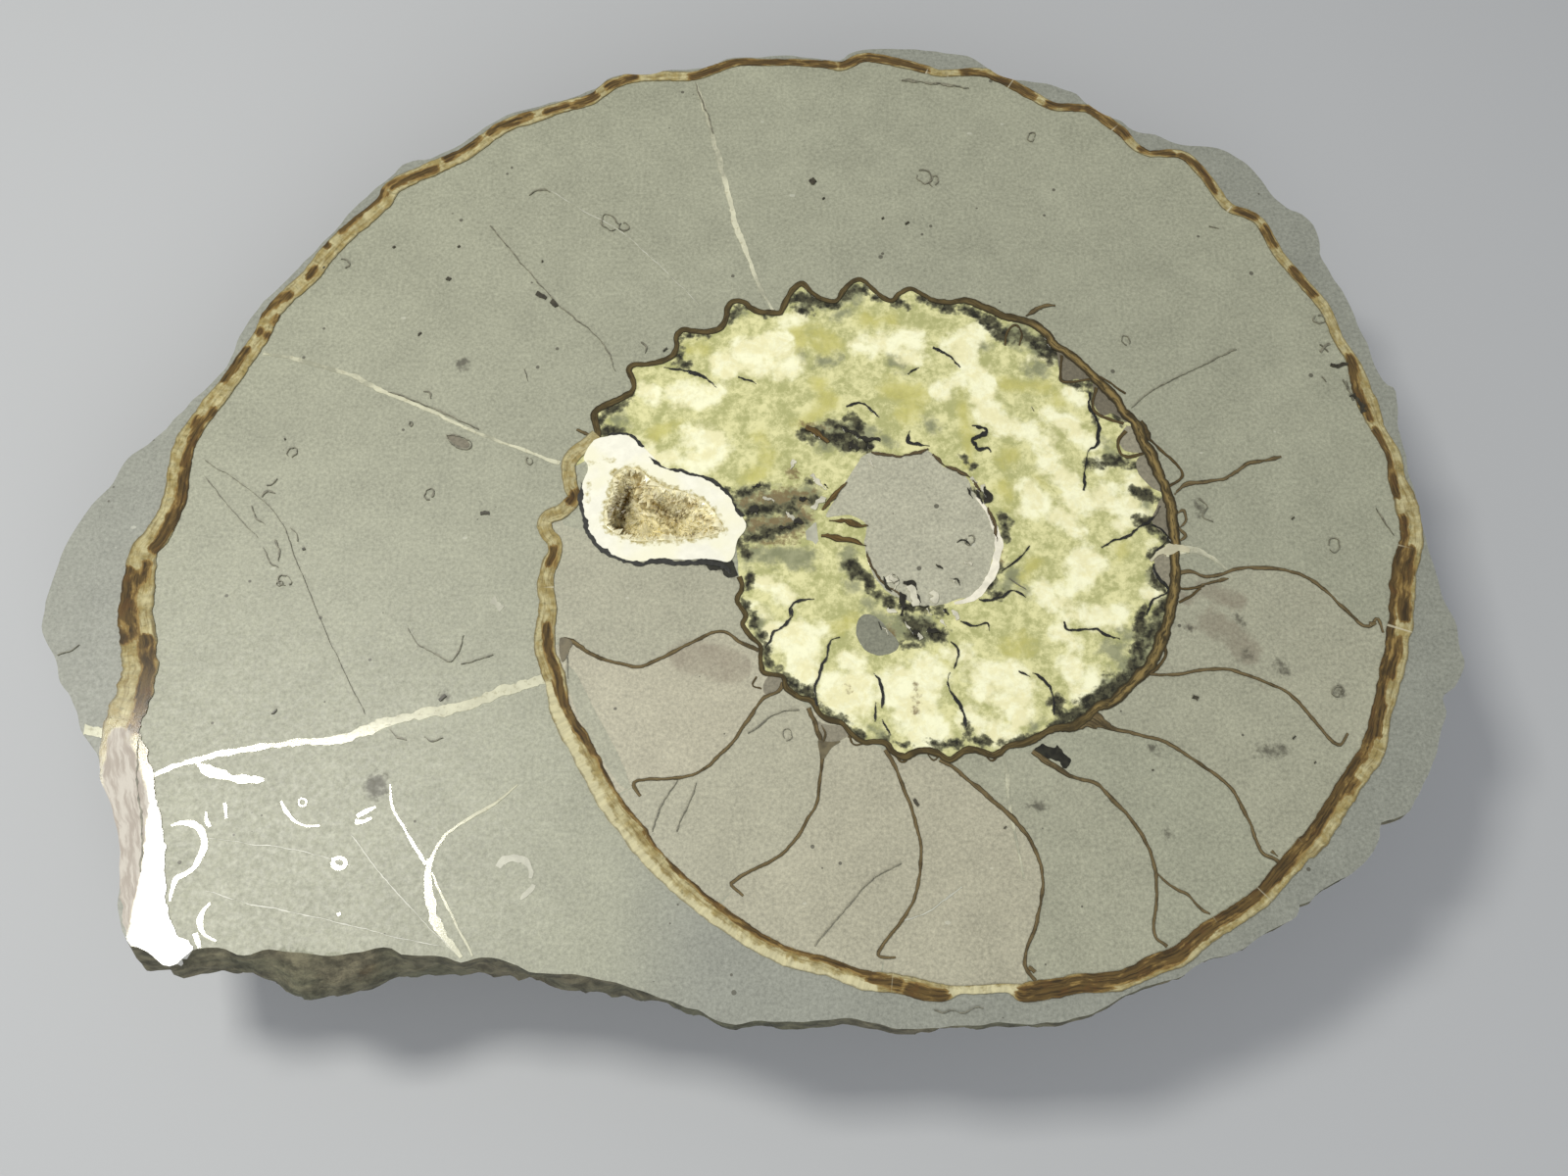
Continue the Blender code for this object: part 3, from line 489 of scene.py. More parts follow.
CLAY_PATCHES_PX = (
    (20, 768, 570, 794, 568, 822, 572), (27.3, 762, 512, 796, 510, 826, 508),
    (24.7, 766, 538, 800, 534, 818, 530), (34, 846, 446, 878, 446), (22.7, 770, 566, 800, 566, 824, 570),
    (30, 1186, 640, 1160, 680, 1120, 712), (30, 900, 640, 940, 640), (29, 1040, 340, 1076, 356),
    (24, 824, 306, 872, 300), (15, 776, 634, 778, 644), (18, 866, 560, 872, 596), (17, 886, 616, 900, 630),
    (17, 1034, 586, 1026, 596), (19, 914, 366, 918, 370), (15, 838, 370, 850, 366),
    (19, 1062, 378, 1052, 370), (22, 1130, 660, 1142, 664), (11, 890, 742, 900, 752),
    (14, 1144, 640, 1150, 648), (15, 1126, 450, 1134, 466), (11, 848, 322, 862, 318),
    (9, 1172, 586, 1180, 612), (11, 1168, 512, 1174, 520), (14, 948, 430, 954, 436),
    (13, 902, 446, 912, 452), (9, 748, 322, 756, 318), (10, 770, 352, 780, 354), (9, 1062, 730, 1056, 744),
    (10, 1040, 600, 1046, 604), (13, 628, 424, 638, 430), (8, 990, 354, 1006, 352), (10, 816, 362, 820, 366),
)
BROWN_PATCHES_PX = (
    (7.3, 818, 433, 838, 434, 850, 432), (7.3, 782, 503, 796, 501, 812, 498), (7.5, 772, 524, 782, 529),
    (7.3, 800, 526, 812, 518, 822, 522), (8, 802, 546, 814, 540), (8, 768, 538, 778, 538, 790, 542),
    (6, 756, 536, 752, 552, 762, 562), (7, 780, 524, 776, 536),
    (5.5, 770, 554, 798, 552, 818, 544, 830, 540), (10, 806, 480, 812, 486), (5, 784, 538, 800, 536),
    (6, 1022, 560, 1022, 574), (3, 864, 700, 866, 704), (5, 934, 700, 936, 716, 934, 726),
    (4.5, 806, 520, 818, 518), (9, 906, 640, 912, 650), (7, 1158, 466, 1166, 470), (6, 1170, 498, 1178, 510),
    (20, 764, 512, 800, 508, 828, 508), (18, 768, 537, 800, 534, 822, 528), (8, 772, 552, 814, 548),
)

# Small pockets of limestone between the inner wall and the calcite
POCKETS_PX = [pairs(*row) for row in (
    (1079, 352, 1096, 365, 1115, 384, 1112, 388, 1098, 386, 1088, 388, 1082, 380),
    (1117, 387, 1134, 403, 1147, 421, 1150, 430, 1136, 421, 1126, 423, 1118, 414, 1116, 400),
    (1146, 438, 1155, 434, 1168, 453, 1172, 462, 1158, 461, 1148, 459, 1142, 450),
    (1162, 466, 1175, 466, 1184, 486, 1190, 502, 1178, 498, 1168, 490, 1160, 478),
    (1190, 504, 1196, 524, 1198, 545, 1186, 542, 1176, 532, 1180, 518),
    (1180, 562, 1199, 560, 1199, 594, 1188, 594, 1180, 582),
)]

# How warm the limestone of the umbilicus and its patch is, and of the pockets and the side rooms
UMBILICUS_WARMTHS = (0.95, 0.0)
POCKET_WARMTHS = (0.05, 0.0, 0.8, 0.5, 0.25, 0.6, 0.4, 0.3, 0.15)

# Small crystals round the umbilicus, white ones, and bits of black clay
CRYSTAL_BITS_PX = (
    (7.2, 908, 586, 914, 594, 910, 600), (6.2, 926, 598, 932, 610, 934, 618),
    (7.2, 952, 602, 958, 610, 954, 616), (4.8, 968, 592, 974, 594), (8.5, 984, 574, 992, 576),
    (4.8, 924, 634, 930, 640), (5.5, 944, 622, 950, 628), (5.8, 972, 622, 978, 632),
    (4.8, 900, 640, 906, 648), (4.8, 936, 646, 940, 652), (4.8, 1004, 494, 1008, 504),
    (4, 992, 486, 998, 492), (5.5, 828, 484, 836, 492, 842, 500), (8, 838, 506, 832, 520),
    (6.8, 812, 470, 806, 478), (4.8, 802, 522, 812, 530), (5.8, 906, 620, 914, 626),
    (4.8, 958, 634, 964, 640), (4.8, 886, 470, 892, 476), (3.8, 778, 508, 790, 512),
)
BLACK_BITS_PX = (
    (4.3, 922, 592, 930, 594, 935, 602), (2, 902, 588, 904, 598, 910, 603),
    (5.2, 918, 604, 922, 616, 921, 628), (7.8, 938, 620, 948, 620), (5.5, 962, 622, 966, 628),
    (7.5, 930, 640, 938, 644), (6.8, 948, 640, 958, 648), (2.8, 936, 606, 940, 614),
    (3.5, 970, 590, 978, 590, 979, 597), (4.3, 1006, 496, 1010, 508, 1004, 512), (2.8, 996, 500, 1002, 514),
    (2.8, 986, 498, 992, 508), (6, 768, 497, 776, 494), (2.8, 842, 493, 846, 497), (7.5, 816, 512, 826, 510),
    (7.5, 764, 520, 772, 524), (5.8, 796, 541, 806, 539), (4.8, 810, 531, 820, 532),
    (9.5, 866, 452, 874, 460), (5.8, 884, 452, 892, 456), (3.6, 858, 436, 870, 442, 884, 446, 898, 450),
    (1.8, 976, 552, 984, 550, 990, 556), (2, 955, 576, 962, 580), (2, 896, 634, 900, 642),
)

# Black clay trapped beside the walls
CLAY_SPOTS_PX = [pairs(*row) for row in (
    (1055, 764, 1066, 760, 1080, 761, 1088, 768, 1094, 780, 1086, 782, 1076, 774, 1062, 770),
    (716, 572, 728, 570, 742, 566, 749, 574, 750, 586, 742, 588, 734, 582, 724, 580),
)]

# Stains and smudges in the limestone: strokes with their widths
STAINS_PX = (
    (34.7, 1236, 634, 1258, 648, 1274, 664), (25, 1230, 600, 1262, 612), (42, 700, 668, 720, 672, 748, 680),
    (15, 1196, 600, 1214, 612), (9, 1213, 634, 1216, 641), (12, 1256, 644, 1268, 656, 1277, 667),
    (8, 1288, 700, 1292, 706),
)
SMUDGES_PX = (
    (24, 383, 800, 384, 803), (10, 471, 370, 474, 372), (10, 1306, 678, 1312, 686),
    (9, 1366, 700, 1368, 708), (8.7, 1282, 766, 1300, 766, 1312, 765), (10, 1056, 822, 1064, 822),
    (5, 1222, 510, 1226, 526), (6, 1176, 764, 1182, 768), (9.3, 718, 570, 734, 574, 746, 584),
    (6, 1190, 846, 1196, 856), (8, 453, 709, 455, 711), (4, 1213, 636, 1217, 646), (6, 1262, 630, 1270, 640),
    (6, 1268, 664, 1278, 672), (4, 1303, 682, 1312, 688),
)

# The outer wall's brown and cream stretches, the near-white painted highlight of glare over its end, and
# where it is dull; the inner wall's pale stretch
BROWN_WALL_PX = (
    (10.3, 588, 502, 582, 511), (9.2, 565, 560, 562, 575), (9, 557, 640, 562, 671, 573, 707, 590, 743),
    (7, 590, 743, 613, 779, 642, 824, 662, 850, 690, 884),
    (9.4, 690, 884, 740, 927, 790, 960, 850, 980, 884, 992), (13.8, 890, 996, 915, 1005),
    (16.1, 930, 1012, 960, 1016), (20, 1047, 1015, 1083, 1008, 1121, 1001, 1162, 988, 1203, 970),
    (14, 1203, 970, 1244, 940, 1284, 910, 1325, 868, 1362, 812),
    (12, 1362, 812, 1396, 760, 1408, 700, 1418, 640, 1421, 590), (12.3, 1421, 590, 1430, 560, 1431, 530),
    (8.4, 1424, 505, 1416, 470, 1404, 440), (10.3, 1396, 425, 1384, 395, 1378, 365),
    (8, 1340, 300, 1320, 275), (8, 1300, 250, 1290, 232), (8.6, 1280, 222, 1262, 214),
    (7.2, 1240, 195, 1222, 168, 1206, 158), (7.5, 1196, 157, 1165, 152),
    (9.5, 1150, 138, 1126, 120, 1110, 111), (9.2, 1100, 109, 1070, 106), (10, 1055, 98, 1030, 84, 985, 73),
    (9.4, 945, 70, 915, 62, 885, 58, 860, 65), (8.6, 850, 66, 812, 63, 751, 63, 706, 78),
    (22.2, 130, 588, 128, 615, 129, 646), (15, 150, 654, 150, 690, 145, 722, 137, 742),
    (9.2, 620, 87, 647, 78), (8.1, 585, 108, 607, 97), (6.9, 558, 113, 580, 107),
    (9.2, 501, 134, 520, 126, 540, 117), (10.4, 456, 160, 470, 152, 487, 142),
    (10.4, 399, 189, 420, 180, 443, 172), (13.8, 348, 232, 368, 212, 390, 196), (5.8, 330, 247, 334, 250),
    (6.9, 315, 281, 322, 274), (6.9, 279, 328, 284, 324), (10.4, 266, 320, 280, 308, 293, 301),
    (8.1, 264, 338, 276, 344), (10.4, 229, 386, 240, 370, 250, 358), (9.2, 206, 430, 217, 420),
    (13.6, 204, 430, 196, 460, 192, 474), (15, 190, 484, 186, 508, 178, 534),
    (12, 174, 528, 166, 548, 158, 560), (14, 1437, 562, 1435, 592, 1431, 628), (9, 1426, 652, 1421, 690),
    (9, 1411, 722, 1405, 748), (7, 1384, 796, 1376, 808), (9, 150, 575, 146, 592),
)
CREAM_WALL_PX = (
    (12, 557, 700, 586, 768, 626, 842, 690, 914, 770, 970, 850, 1000, 890, 1008), (9, 972, 1012, 1040, 1010),
)
# Painted highlight: where the wall's end at the lower left is painted near-white as glare from the key lamp
PAINTED_GLARE_WALL_PX = [triples(151, 800, 6, 157, 838, 16, 159, 870, 24, 158, 904, 36, 160, 941, 46, 168, 975, 60)]
DULL_WALL_PX = [triples(122, 755, 26, 124, 790, 40, 130, 822, 40, 130, 880, 30, 126, 930, 18, 128, 950, 6)]
PALE_WALL_PX = [triples(
    1067, 339, 30, 1134, 402, 30, 1175, 465, 30, 1198, 545, 30, 1196, 615, 30, 1165, 686, 30, 1120, 721, 24,
)]

# Shards of brown shell beside the umbilicus
UMBILICUS_SHARDS_PX = (
    (6.8, 846, 530, 862, 531, 878, 536, 886, 536), (5.2, 838, 546, 850, 547, 868, 551, 884, 557),
    (4, 839, 520, 852, 505, 865, 492), (8, 822, 436, 834, 441, 844, 452),
)

# Lights: where each hangs, where it points and its size. The lower left of the face mirrors the key.
LIGHT_LEVEL = 1.2
KEY_PLACE = (-0.264, 0.071, 0.638)
KEY_AIM = (-0.264, 0.071, 0.0)
KEY_SIZE = (0.174, 0.125)
FILL_PLACE = (0.15, -0.8, 0.9)
FILL_AIM = (0.0, 0.0, 0.0)
FILL_SIZE = (0.9, 0.9)
FLOOR_SIZE = 4
CLIP_START = 0.01

# Rough rock, as lumps of a few sizes with their heights
ROCK_LUMPS = ((31 * MM, 1.5 * MM), (12 * MM, 0.7 * MM), (5.5 * MM, 0.45 * MM), (2.3 * MM, 0.3 * MM))
ROCK_RIDGES = (5 * MM, 0.7 * MM)
ROCK_FACETS = (4.5 * MM, 1.6 * MM)
ROUGH_FROM_DEPTH = 1.5 * MM
MOST_RELIEF_SHARE = 0.15
BROKEN_RELIEF = 1 * MM
SMOOTH_ANGLE = math.radians(50)

# The domed back: it follows the solid stone
DOME_DEPTH = 39 * MM
DOME_CENTRE = np.array((4 * MM, -4 * MM))
DOME_HALF_SIZE = (104 * MM, 80 * MM)
DOME_FULLNESS = 2.05
STEEP_SIDE_ANGLE = math.radians(222)
STEEP_SIDE_SPREAD = math.radians(38)
STEEP_FULLNESS = 1.3
LAST_RING_LEVEL = 0.9
CROWN_FROM_LEVEL = 0.62
CROWN_LEVELS = 0.2
COIL_CENTRE = np.array((26.5 * MM, -12.5 * MM))
COIL_RADIUS = 82 * MM
COIL_GROWTH = 2.03
COIL_EYE_RADIUS = 4 * MM
WHORL_BULGE = 5 * MM
WHORL_SUNK_SHARE = 0.5
WHORL_ROUNDNESS = 0.8
RIBS_PER_TURN = 26
RIB_HEIGHT = 1.3 * MM
RIB_SWEEP = 0.35

# The hollow, from its mouth down to its floor: share of the mouth and share of the depth
HOLLOW_DEPTH = 9.2 * MM
HOLLOW_WALL = ((1.0, 0.0), (0.98, 0.12), (0.95, 0.25), (0.84, 0.52), (0.66, 0.78), (0.42, 0.95), (0.18, 1.0))
HOLLOW_DRIFT = -3 * MM

# The crust of crystals in the hollow
CRUST_RINGS = 14
CRUST_TOP_LEVEL = 0.02
MOUTH_INSET_MM = 0.1
INSET_GROWTH_MM = 2
MOST_INSET_MM = 0.55
CRUST_FLOOR_GAP = 1.2 * MM
CRUST_THICKNESS = 0.4 * MM
CRUST_LUMPS = (2.6 * MM, 0.9 * MM)
CRYSTALS_SEED = 11
CRYSTAL_SIDES = 5
CRYSTAL_RISE = 0.15
CRYSTAL_LEAN = 0.42
CRYSTAL_SIZE_SPREAD = 0.35
CRYSTAL_TOP_GAP = 0.15 * MM
PALE_CRYSTALS_DEPTH = 1.6 * MM


def tone(red, green, blue):
    """The linear surface colour that looks like a screen colour, 0 to 255, under the stage's light."""
    shares = ((np.array((red, green, blue)) / 255 + 0.055) / 1.055) ** 2.4
    return tuple(float(share) / LIGHT_LEVEL for share in shares)


def colour(name, description, default):
    return FloatVectorProperty(
        name=name, description=description, subtype="COLOR", size=3, min=0, max=1, default=default
    )


def amount(name, description, default, maximum=1.0):
    return FloatProperty(
        name=name, description=description, subtype="FACTOR", min=0, max=maximum, default=default
    )


def length(name, description, default):
    return FloatProperty(
        name=name, description=description, unit="LENGTH", precision=5, min=0, default=default
    )


class StoneSettings(bpy.types.PropertyGroup):
    """Sizes and colours of the limestone."""

    edge_step: length("Edge Step", "Distance between points round the edge of the face", 1.0 * MM)
    face_step: length("Face Step", "Distance between painted points in the face", 1.0 * MM)
    back_rings: IntProperty(
        name="Back Rings", description="Rings between the edge and the back", min=8, default=54
    )
    edge_chipping: length("Edge Chipping", "How far the edge wanders in and out", 0.35 * MM)
    inside: colour("Inside", "Limestone that fills the shell", tone(174, 175, 152))
    outside: colour("Outside", "Limestone round the shell", tone(158, 160, 147))
    chamber: colour("Chambers", "Limestone in the chambers", tone(194, 189, 164))
    stain: colour("Stain", "Brown stain in the limestone", tone(122, 101, 84))
    smudge: colour("Smudge", "Dark clay smudge in the limestone", tone(82, 78, 64))
    broken: colour("Broken", "Broken limestone on the sides", tone(117, 117, 93))
    weathered: colour("Weathered", "Weathered skin on the back", tone(134, 127, 102))
    gloss: amount("Roughness", "Roughness of the polished limestone", 0.42)


class ShellSettings(bpy.types.PropertyGroup):
    """Sizes and colours of the shell wall and the septa."""

    wall_step: length("Wall Step", "Distance between rows of the shell wall", 0.4 * MM)
    wall_columns: IntProperty(
        name="Wall Columns", description="Faces across the shell wall", min=2, default=10
    )
    cream: colour("Cream", "Calcite of the shell wall", tone(212, 202, 154))
    brown: colour("Brown", "Brown shell", tone(112, 90, 50))
    dark_brown: colour("Dark Brown", "Darkest brown of the shell", tone(64, 52, 32))
    septum: colour("Septum", "Thin septa", tone(122, 106, 72))
    gloss: amount("Roughness", "Roughness of the polished shell", 0.12)


class CalciteSettings(bpy.types.PropertyGroup):
    """Sizes and colours of the calcite."""

    step: length("Step", "Distance between painted points in the calcite", 0.55 * MM)
    white: colour("White", "Cloudy white calcite", (0.99, 0.94, 0.56))
    green: colour("Green", "Clear yellow-green calcite", tone(230, 224, 128))
    clay: colour("Clay", "Dark clay in the calcite", tone(44, 43, 33))
    rim: colour("Rim", "White rim of the hollow", (0.99, 0.97, 0.82))
    vein: colour("Vein", "White veins", tone(236, 234, 204))
    suture: colour("Suture", "Black sutures", tone(42, 42, 38))
    gloss: amount("Roughness", "Roughness of the polished calcite", 0.1)


class CrystalSettings(bpy.types.PropertyGroup):
    """Sizes and colours of the crystals in the hollow."""

    count: IntProperty(name="Count", description="Crystals in the hollow", min=10, default=1500)
    radius: length("Radius", "Radius of a usual crystal", 0.5 * MM)
    height: length("Height", "Height of a usual crystal", 1.0 * MM)
    tan: colour("Tan", "Tan crystals", (0.86, 0.79, 0.5))
    brown: colour("Brown", "Crystals stained brown", tone(190, 168, 108))


class StageSettings(bpy.types.PropertyGroup):
    """The floor and the light."""

    floor: colour("Floor", "Pale floor", tone(206, 208, 210))
    key_power: FloatProperty(
        name="Key Power", description="Power of the light over the left", unit="POWER", default=3.1
    )
    fill_power: FloatProperty(
        name="Fill Power", description="Power of the wide soft light", unit="POWER", default=6.8
    )
    sky: amount("Sky", "Strength of the light from all round", 0.36, 5.0)


def on_face(marks, depth=0.0):
    """Lays marks, in pixels as x, y and any widths, on the plane of the face: metres."""
    marks = np.asarray(marks, float)
    across = (marks[:, 0] - PHOTO_SIZE_PX[0] / 2) / FOCAL_PX
    up = (PHOTO_SIZE_PX[1] / 2 - marks[:, 1]) / FOCAL_PX
    forward = up * math.cos(VIEW_LEAN) + math.sin(VIEW_LEAN)
    down = math.cos(VIEW_LEAN) - up * math.sin(VIEW_LEAN)
    reach = (EYE.z - STONE_HIGH.z + depth) / down
    widths = marks[:, 2:] * (reach / FOCAL_PX)[:, None]
    return np.column_stack([EYE.x + across * reach, EYE.y + forward * reach, widths])


def height_of(layer):
    return STONE_HIGH.z - (len(LAYERS) - LAYERS.index(layer)) * LAYER_STEP


def smooth_line(knots, step, closed=False):
    """Rows at equal steps on a smooth curve through the knots; further columns go along."""
    knots = np.asarray(knots, float)
    if closed:
        padded = np.vstack([knots[-1:], knots, knots[:2]])
    else:
        padded = np.vstack([2 * knots[0] - knots[1], knots, 2 * knots[-1] - knots[-2]])
    t = np.linspace(0, 1, CURVE_SAMPLES, endpoint=False)[:, None]
    curve = []
    for a, b, c, d in zip(padded, padded[1:], padded[2:], padded[3:]):
        curve.append(b + 0.5 * t * (c - a + t * (2 * a - 5 * b + 4 * c - d + t * (3 * (b - c) + d - a))))
    curve = np.vstack([*curve, knots[:1] if closed else knots[-1:]])
    along = np.concatenate([[0.0], np.cumsum(np.hypot(*np.diff(curve[:, :2], axis=0).T))])
    count = max(int(round(along[-1] / step)), 2) + 1
    places = np.linspace(0, along[-1], count)
    rows = np.column_stack([np.interp(places, along, column) for column in curve.T])
    return rows[:-1] if closed else rows


def smooth_step(values):
    values = np.clip(values, 0, 1)
    return values * values * (3 - 2 * values)


def distance_to_line(places, line):
    """Distance from places to a line, and the line's width where each comes nearest."""
    nearest = np.full(len(places), np.inf)
    width = np.zeros(len(places))
    for start, end in zip(line, line[1:]):
        run = end[:2] - start[:2]
        share = np.clip((places - start[:2]) @ run / max(run @ run, 1e-12), 0, 1)
        distance = np.hypot(*(places - start[:2] - share[:, None] * run).T)
        closer = distance < nearest
        nearest[closer] = distance[closer]
        width[closer] = (start[2] + share * (end[2] - start[2]))[closer]
    return nearest, width


def strokes(rows):
    """Strokes of one width each, from rows of a width and then x and y of each point."""
    return [[(x, y, row[0]) for x, y in pairs(*row[1:])] for row in rows]


def stroke_mask(places, lines, softness):
    """How far each place lies under lines in pixels: 1 well inside, 0 beyond the soft edge."""
    mask = np.zeros(len(places))
    for line in lines:
        distance, width = distance_to_line(places, on_face(line))
        mask = np.maximum(mask, smooth_step(0.5 + (width / 2 - distance) / softness))
    return mask


def inside_outline(places, outline):
    """Which places lie inside a closed outline, by counting crossings."""
    inside = np.zeros(len(places), bool)
    for (x0, y0), (x1, y1) in zip(outline, np.roll(outline, -1, axis=0)):
        spans = (y0 > places[:, 1]) != (y1 > places[:, 1])
        if y0 != y1:
            crossing = x0 + (places[:, 1] - y0) * (x1 - x0) / (y1 - y0)
            inside ^= spans & (places[:, 0] < crossing)
    return inside


def noise_at(points, size):
    return np.array([noise.noise(Vector(point) / size) for point in points])


def wander_at(places, size, level=0):
    """How far each place wanders in x and in y, as shares."""
    return np.array([noise.noise_vector(Vector((x, y, level)) / size)[:2] for x, y in places])


def noise_along(count, step, size, seed):
    """Smooth chance values along a line, one for each row."""
    return np.array([noise.noise(Vector((i * step / size, seed, 0.5))) for i in range(count)])


def write_attribute(obj, name, values):
    attribute = obj.data.attributes.new(name, "FLOAT", "POINT")
    attribute.data.foreach_set("value", np.asarray(values, np.float32))


def coords_of(obj):
    coords = np.empty(len(obj.data.vertices) * 3)
    obj.data.vertices.foreach_get("co", coords)
    return coords.reshape(-1, 3)


def deselect_all():
    bpy.ops.object.select_all(action="DESELECT")


def make_active(obj):
    deselect_all()
    obj.select_set(True)
    bpy.context.view_layer.objects.active = obj


def thicken(obj, depth):
    """Gives a flat inlay its thickness, straight down from its visible top."""
    count = len(obj.data.vertices)
    make_active(obj)
    bpy.ops.object.modifier_add(type="SOLIDIFY")
    obj.modifiers[-1].thickness = depth
    obj.modifiers[-1].offset = -1
    bpy.ops.object.modifier_apply(modifier=obj.modifiers[-1].name)
    coords = coords_of(obj)
    coords[count:] = coords[:count] - (0, 0, depth)
    obj.data.vertices.foreach_set("co", coords.ravel())


def join(name, pieces):
    deselect_all()
    for piece in pieces:
        piece.select_set(True)
    bpy.context.view_layer.objects.active = pieces[0]
    if len(pieces) > 1:
        bpy.ops.object.join()
    pieces[0].name = name
    pieces[0].data.name = name
    return pieces[0]


def new_object(name, points, faces):
    mesh = bpy.data.meshes.new(name)
    mesh.from_pydata([tuple(map(float, point)) for point in points], [], faces)
    obj = bpy.data.objects.new(name, mesh)
    bpy.context.collection.objects.link(obj)
    return obj


def face_edge(step):
    """The edge of the polished face, a little chipped."""
    edge = smooth_line(on_face(EDGE_PX), step, closed=True)
    chips = bpy.context.scene.ammonite_stone.edge_chipping
    return np.clip(edge + wander_at(edge, EDGE_WANDER_SIZE) * chips, STONE_LOW[:2], STONE_HIGH[:2])


def keep_on_face(places):
    """Brings any place outside the stone's edge in to the edge."""
    edge = face_edge(bpy.context.scene.ammonite_stone.edge_step)
    for i in np.flatnonzero(~inside_outline(places, edge)):
        places[i] = edge[np.hypot(*(edge - places[i]).T).argmin()]
    return places


def ease_tight_bends(lines, heading):
    """Straightens the lines of a ribbon where they would run back on the inside of a bend."""
    for _ in range(BEND_ROUNDS):
        steps = np.sum(np.diff(lines, axis=1) * heading[:-1], axis=2)
        least = LEAST_STEP_SHARE * np.hypot(*np.diff(lines.mean(axis=0), axis=0).T)
        tight = np.flatnonzero((steps < least).any(axis=0))
        if not len(tight):
            break
        near = np.unique(np.clip(tight[:, None] + (-1, 0, 1, 2), 1, lines.shape[1] - 2))
        lines[:, near] = (lines[:, near - 1] + lines[:, near] + lines[:, near + 1]) / 3
    return lines


def ribbon(
    name, marks, layer, step=0.5 * MM, columns=1, wobble=0.15, depth=INLAY_DEPTH, lift=0.0, taper=0.0
):
    """An inlaid strip that follows marks on the face: a grid bent along them, then thickened."""
    rows = smooth_line(on_face(marks), step)
    count = len(rows)
    seed = float(sum(rows[0, :2] * SEEDS_PER_METRE))
    heading = np.gradient(rows[:, :2], axis=0)
    heading /= np.hypot(*heading.T)[:, None] + 1e-12
    side = np.column_stack([-heading[:, 1], heading[:, 0]])
    long, short = SWELL_SIZES
    swell = 2 * noise_along(count, step, long, seed) + noise_along(count, step, short, seed + 3)
    from_end = np.minimum(np.arange(count), np.arange(count)[::-1]) * step
    narrowing = taper * (1 - smooth_step(from_end / (2 * rows[:, 2] + LEAST_TAPER)))
    width = rows[:, 2] * np.maximum(1 + wobble * swell - narrowing, LEAST_WIDTH_SHARE)
    long, short = DRIFT_SIZES
    drift = noise_along(count, step, long, seed + 7) + 0.5 * noise_along(count, step, short, seed + 5)
    middle = rows[:, :2] + side * (wobble * (rows[:, 2] + LEAST_DRIFT) * drift)[:, None]
    shares = np.linspace(-0.5, 0.5, columns + 1)
    flat = ease_tight_bends(middle + side * width[:, None] * shares[:, None, None], heading)
    deselect_all()
    bpy.ops.mesh.primitive_grid_add(x_subdivisions=count - 1, y_subdivisions=columns, size=1)
    obj = bpy.context.object
    obj.name = name
    coords = np.full((flat.shape[0] * flat.shape[1], 3), height_of(layer) + lift)
    coords[:, :2] = keep_on_face(flat.reshape(-1, 2))
    obj.data.vertices.foreach_set("co", coords.ravel())
    write_attribute(obj, "along", np.tile(np.arange(count) * step, columns + 1))
    write_attribute(obj, "across", np.repeat(shares + 0.5, count))
    thicken(obj, depth)
    return obj


def ribbons(name, lines, layer, **shape):
    """Several ribbons as one piece, each a hair higher than the last so that no two tops meet."""
    rise = LAYER_FILL_SHARE * LAYER_STEP / len(lines)
    return join(name, [ribbon(name, marks, layer, lift=i * rise, **shape) for i, marks in enumerate(lines)])


def ring_marks(x, y, radius, width):
    """Marks round a small, uneven ring."""
    marks = []
    for angle in np.linspace(y, y + RING_SPAN, RING_POINTS):
        reach = radius * (1 + RING_OVAL * math.sin(2 * angle + x) + RING_LUMPS * math.sin(5 * angle))
        marks.append((x + reach * math.cos(angle), y + reach * math.sin(angle), width))
    return marks


def spread_points(outline, step):
    """Points about a step apart inside an outline, each a little off its row."""
    low, high = outline.min(axis=0), outline.max(axis=0)
    chance = np.random.RandomState(POINTS_SEED)
    rows = np.arange(low[1], high[1], step * ROW_GAP_SHARE)
    xs, ys = np.meshgrid(np.arange(low[0], high[0], step), rows)
    xs[1::2] += step / 2
    points = np.column_stack([xs.ravel(), ys.ravel()])
    points += chance.uniform(-POINT_SHIFT_SHARE, POINT_SHIFT_SHARE, points.shape) * step
    return points[inside_outline(points, outline)]


def triangulate(outline, holes=(), step=None):
    """Points and triangles that fill an outline, outside its holes."""
    loops = [outline, *holes]
    points = np.vstack(loops)
    if step:
        points = np.vstack([points, spread_points(outline, step)])
    faces = []
    first = 0
    for loop in loops:
        x, y = loop.T
        order = list(range(first, first + len(loop)))
        faces.append(order if np.sum(x * np.roll(y, -1) - y * np.roll(x, -1)) > 0 else order[::-1])
        first += len(loop)
    flat = [Vector(point / MM) for point in points]
    made, _, triangles, sources, _, origins = delaunay_2d_cdt(flat, [], faces, 0, WELD_DISTANCE_MM)
    kept = [face for face, origin in zip(triangles, origins) if 0 in origin and max(origin) == 0]
    used = sorted({vertex for face in kept for vertex in face})
    place = {vertex: i for i, vertex in enumerate(used)}
    triangles = [[place[vertex] for vertex in face] for face in kept]
    corners = np.array([made[vertex] for vertex in used]) * MM
    index = {source: place[v] for v, listed in enumerate(sources) for source in listed if v in place}
    return corners, triangles, index


def patch(name, outline, layer, holes=(), step=None, depth=INLAY_DEPTH):
    """An inlaid plate with the outline given, in metres."""
    corners, triangles, _ = triangulate(outline, holes, step)
    points = np.column_stack([corners, np.full(len(corners), height_of(layer))])
    obj = new_object(name, points, triangles)
    thicken(obj, depth)
    return obj


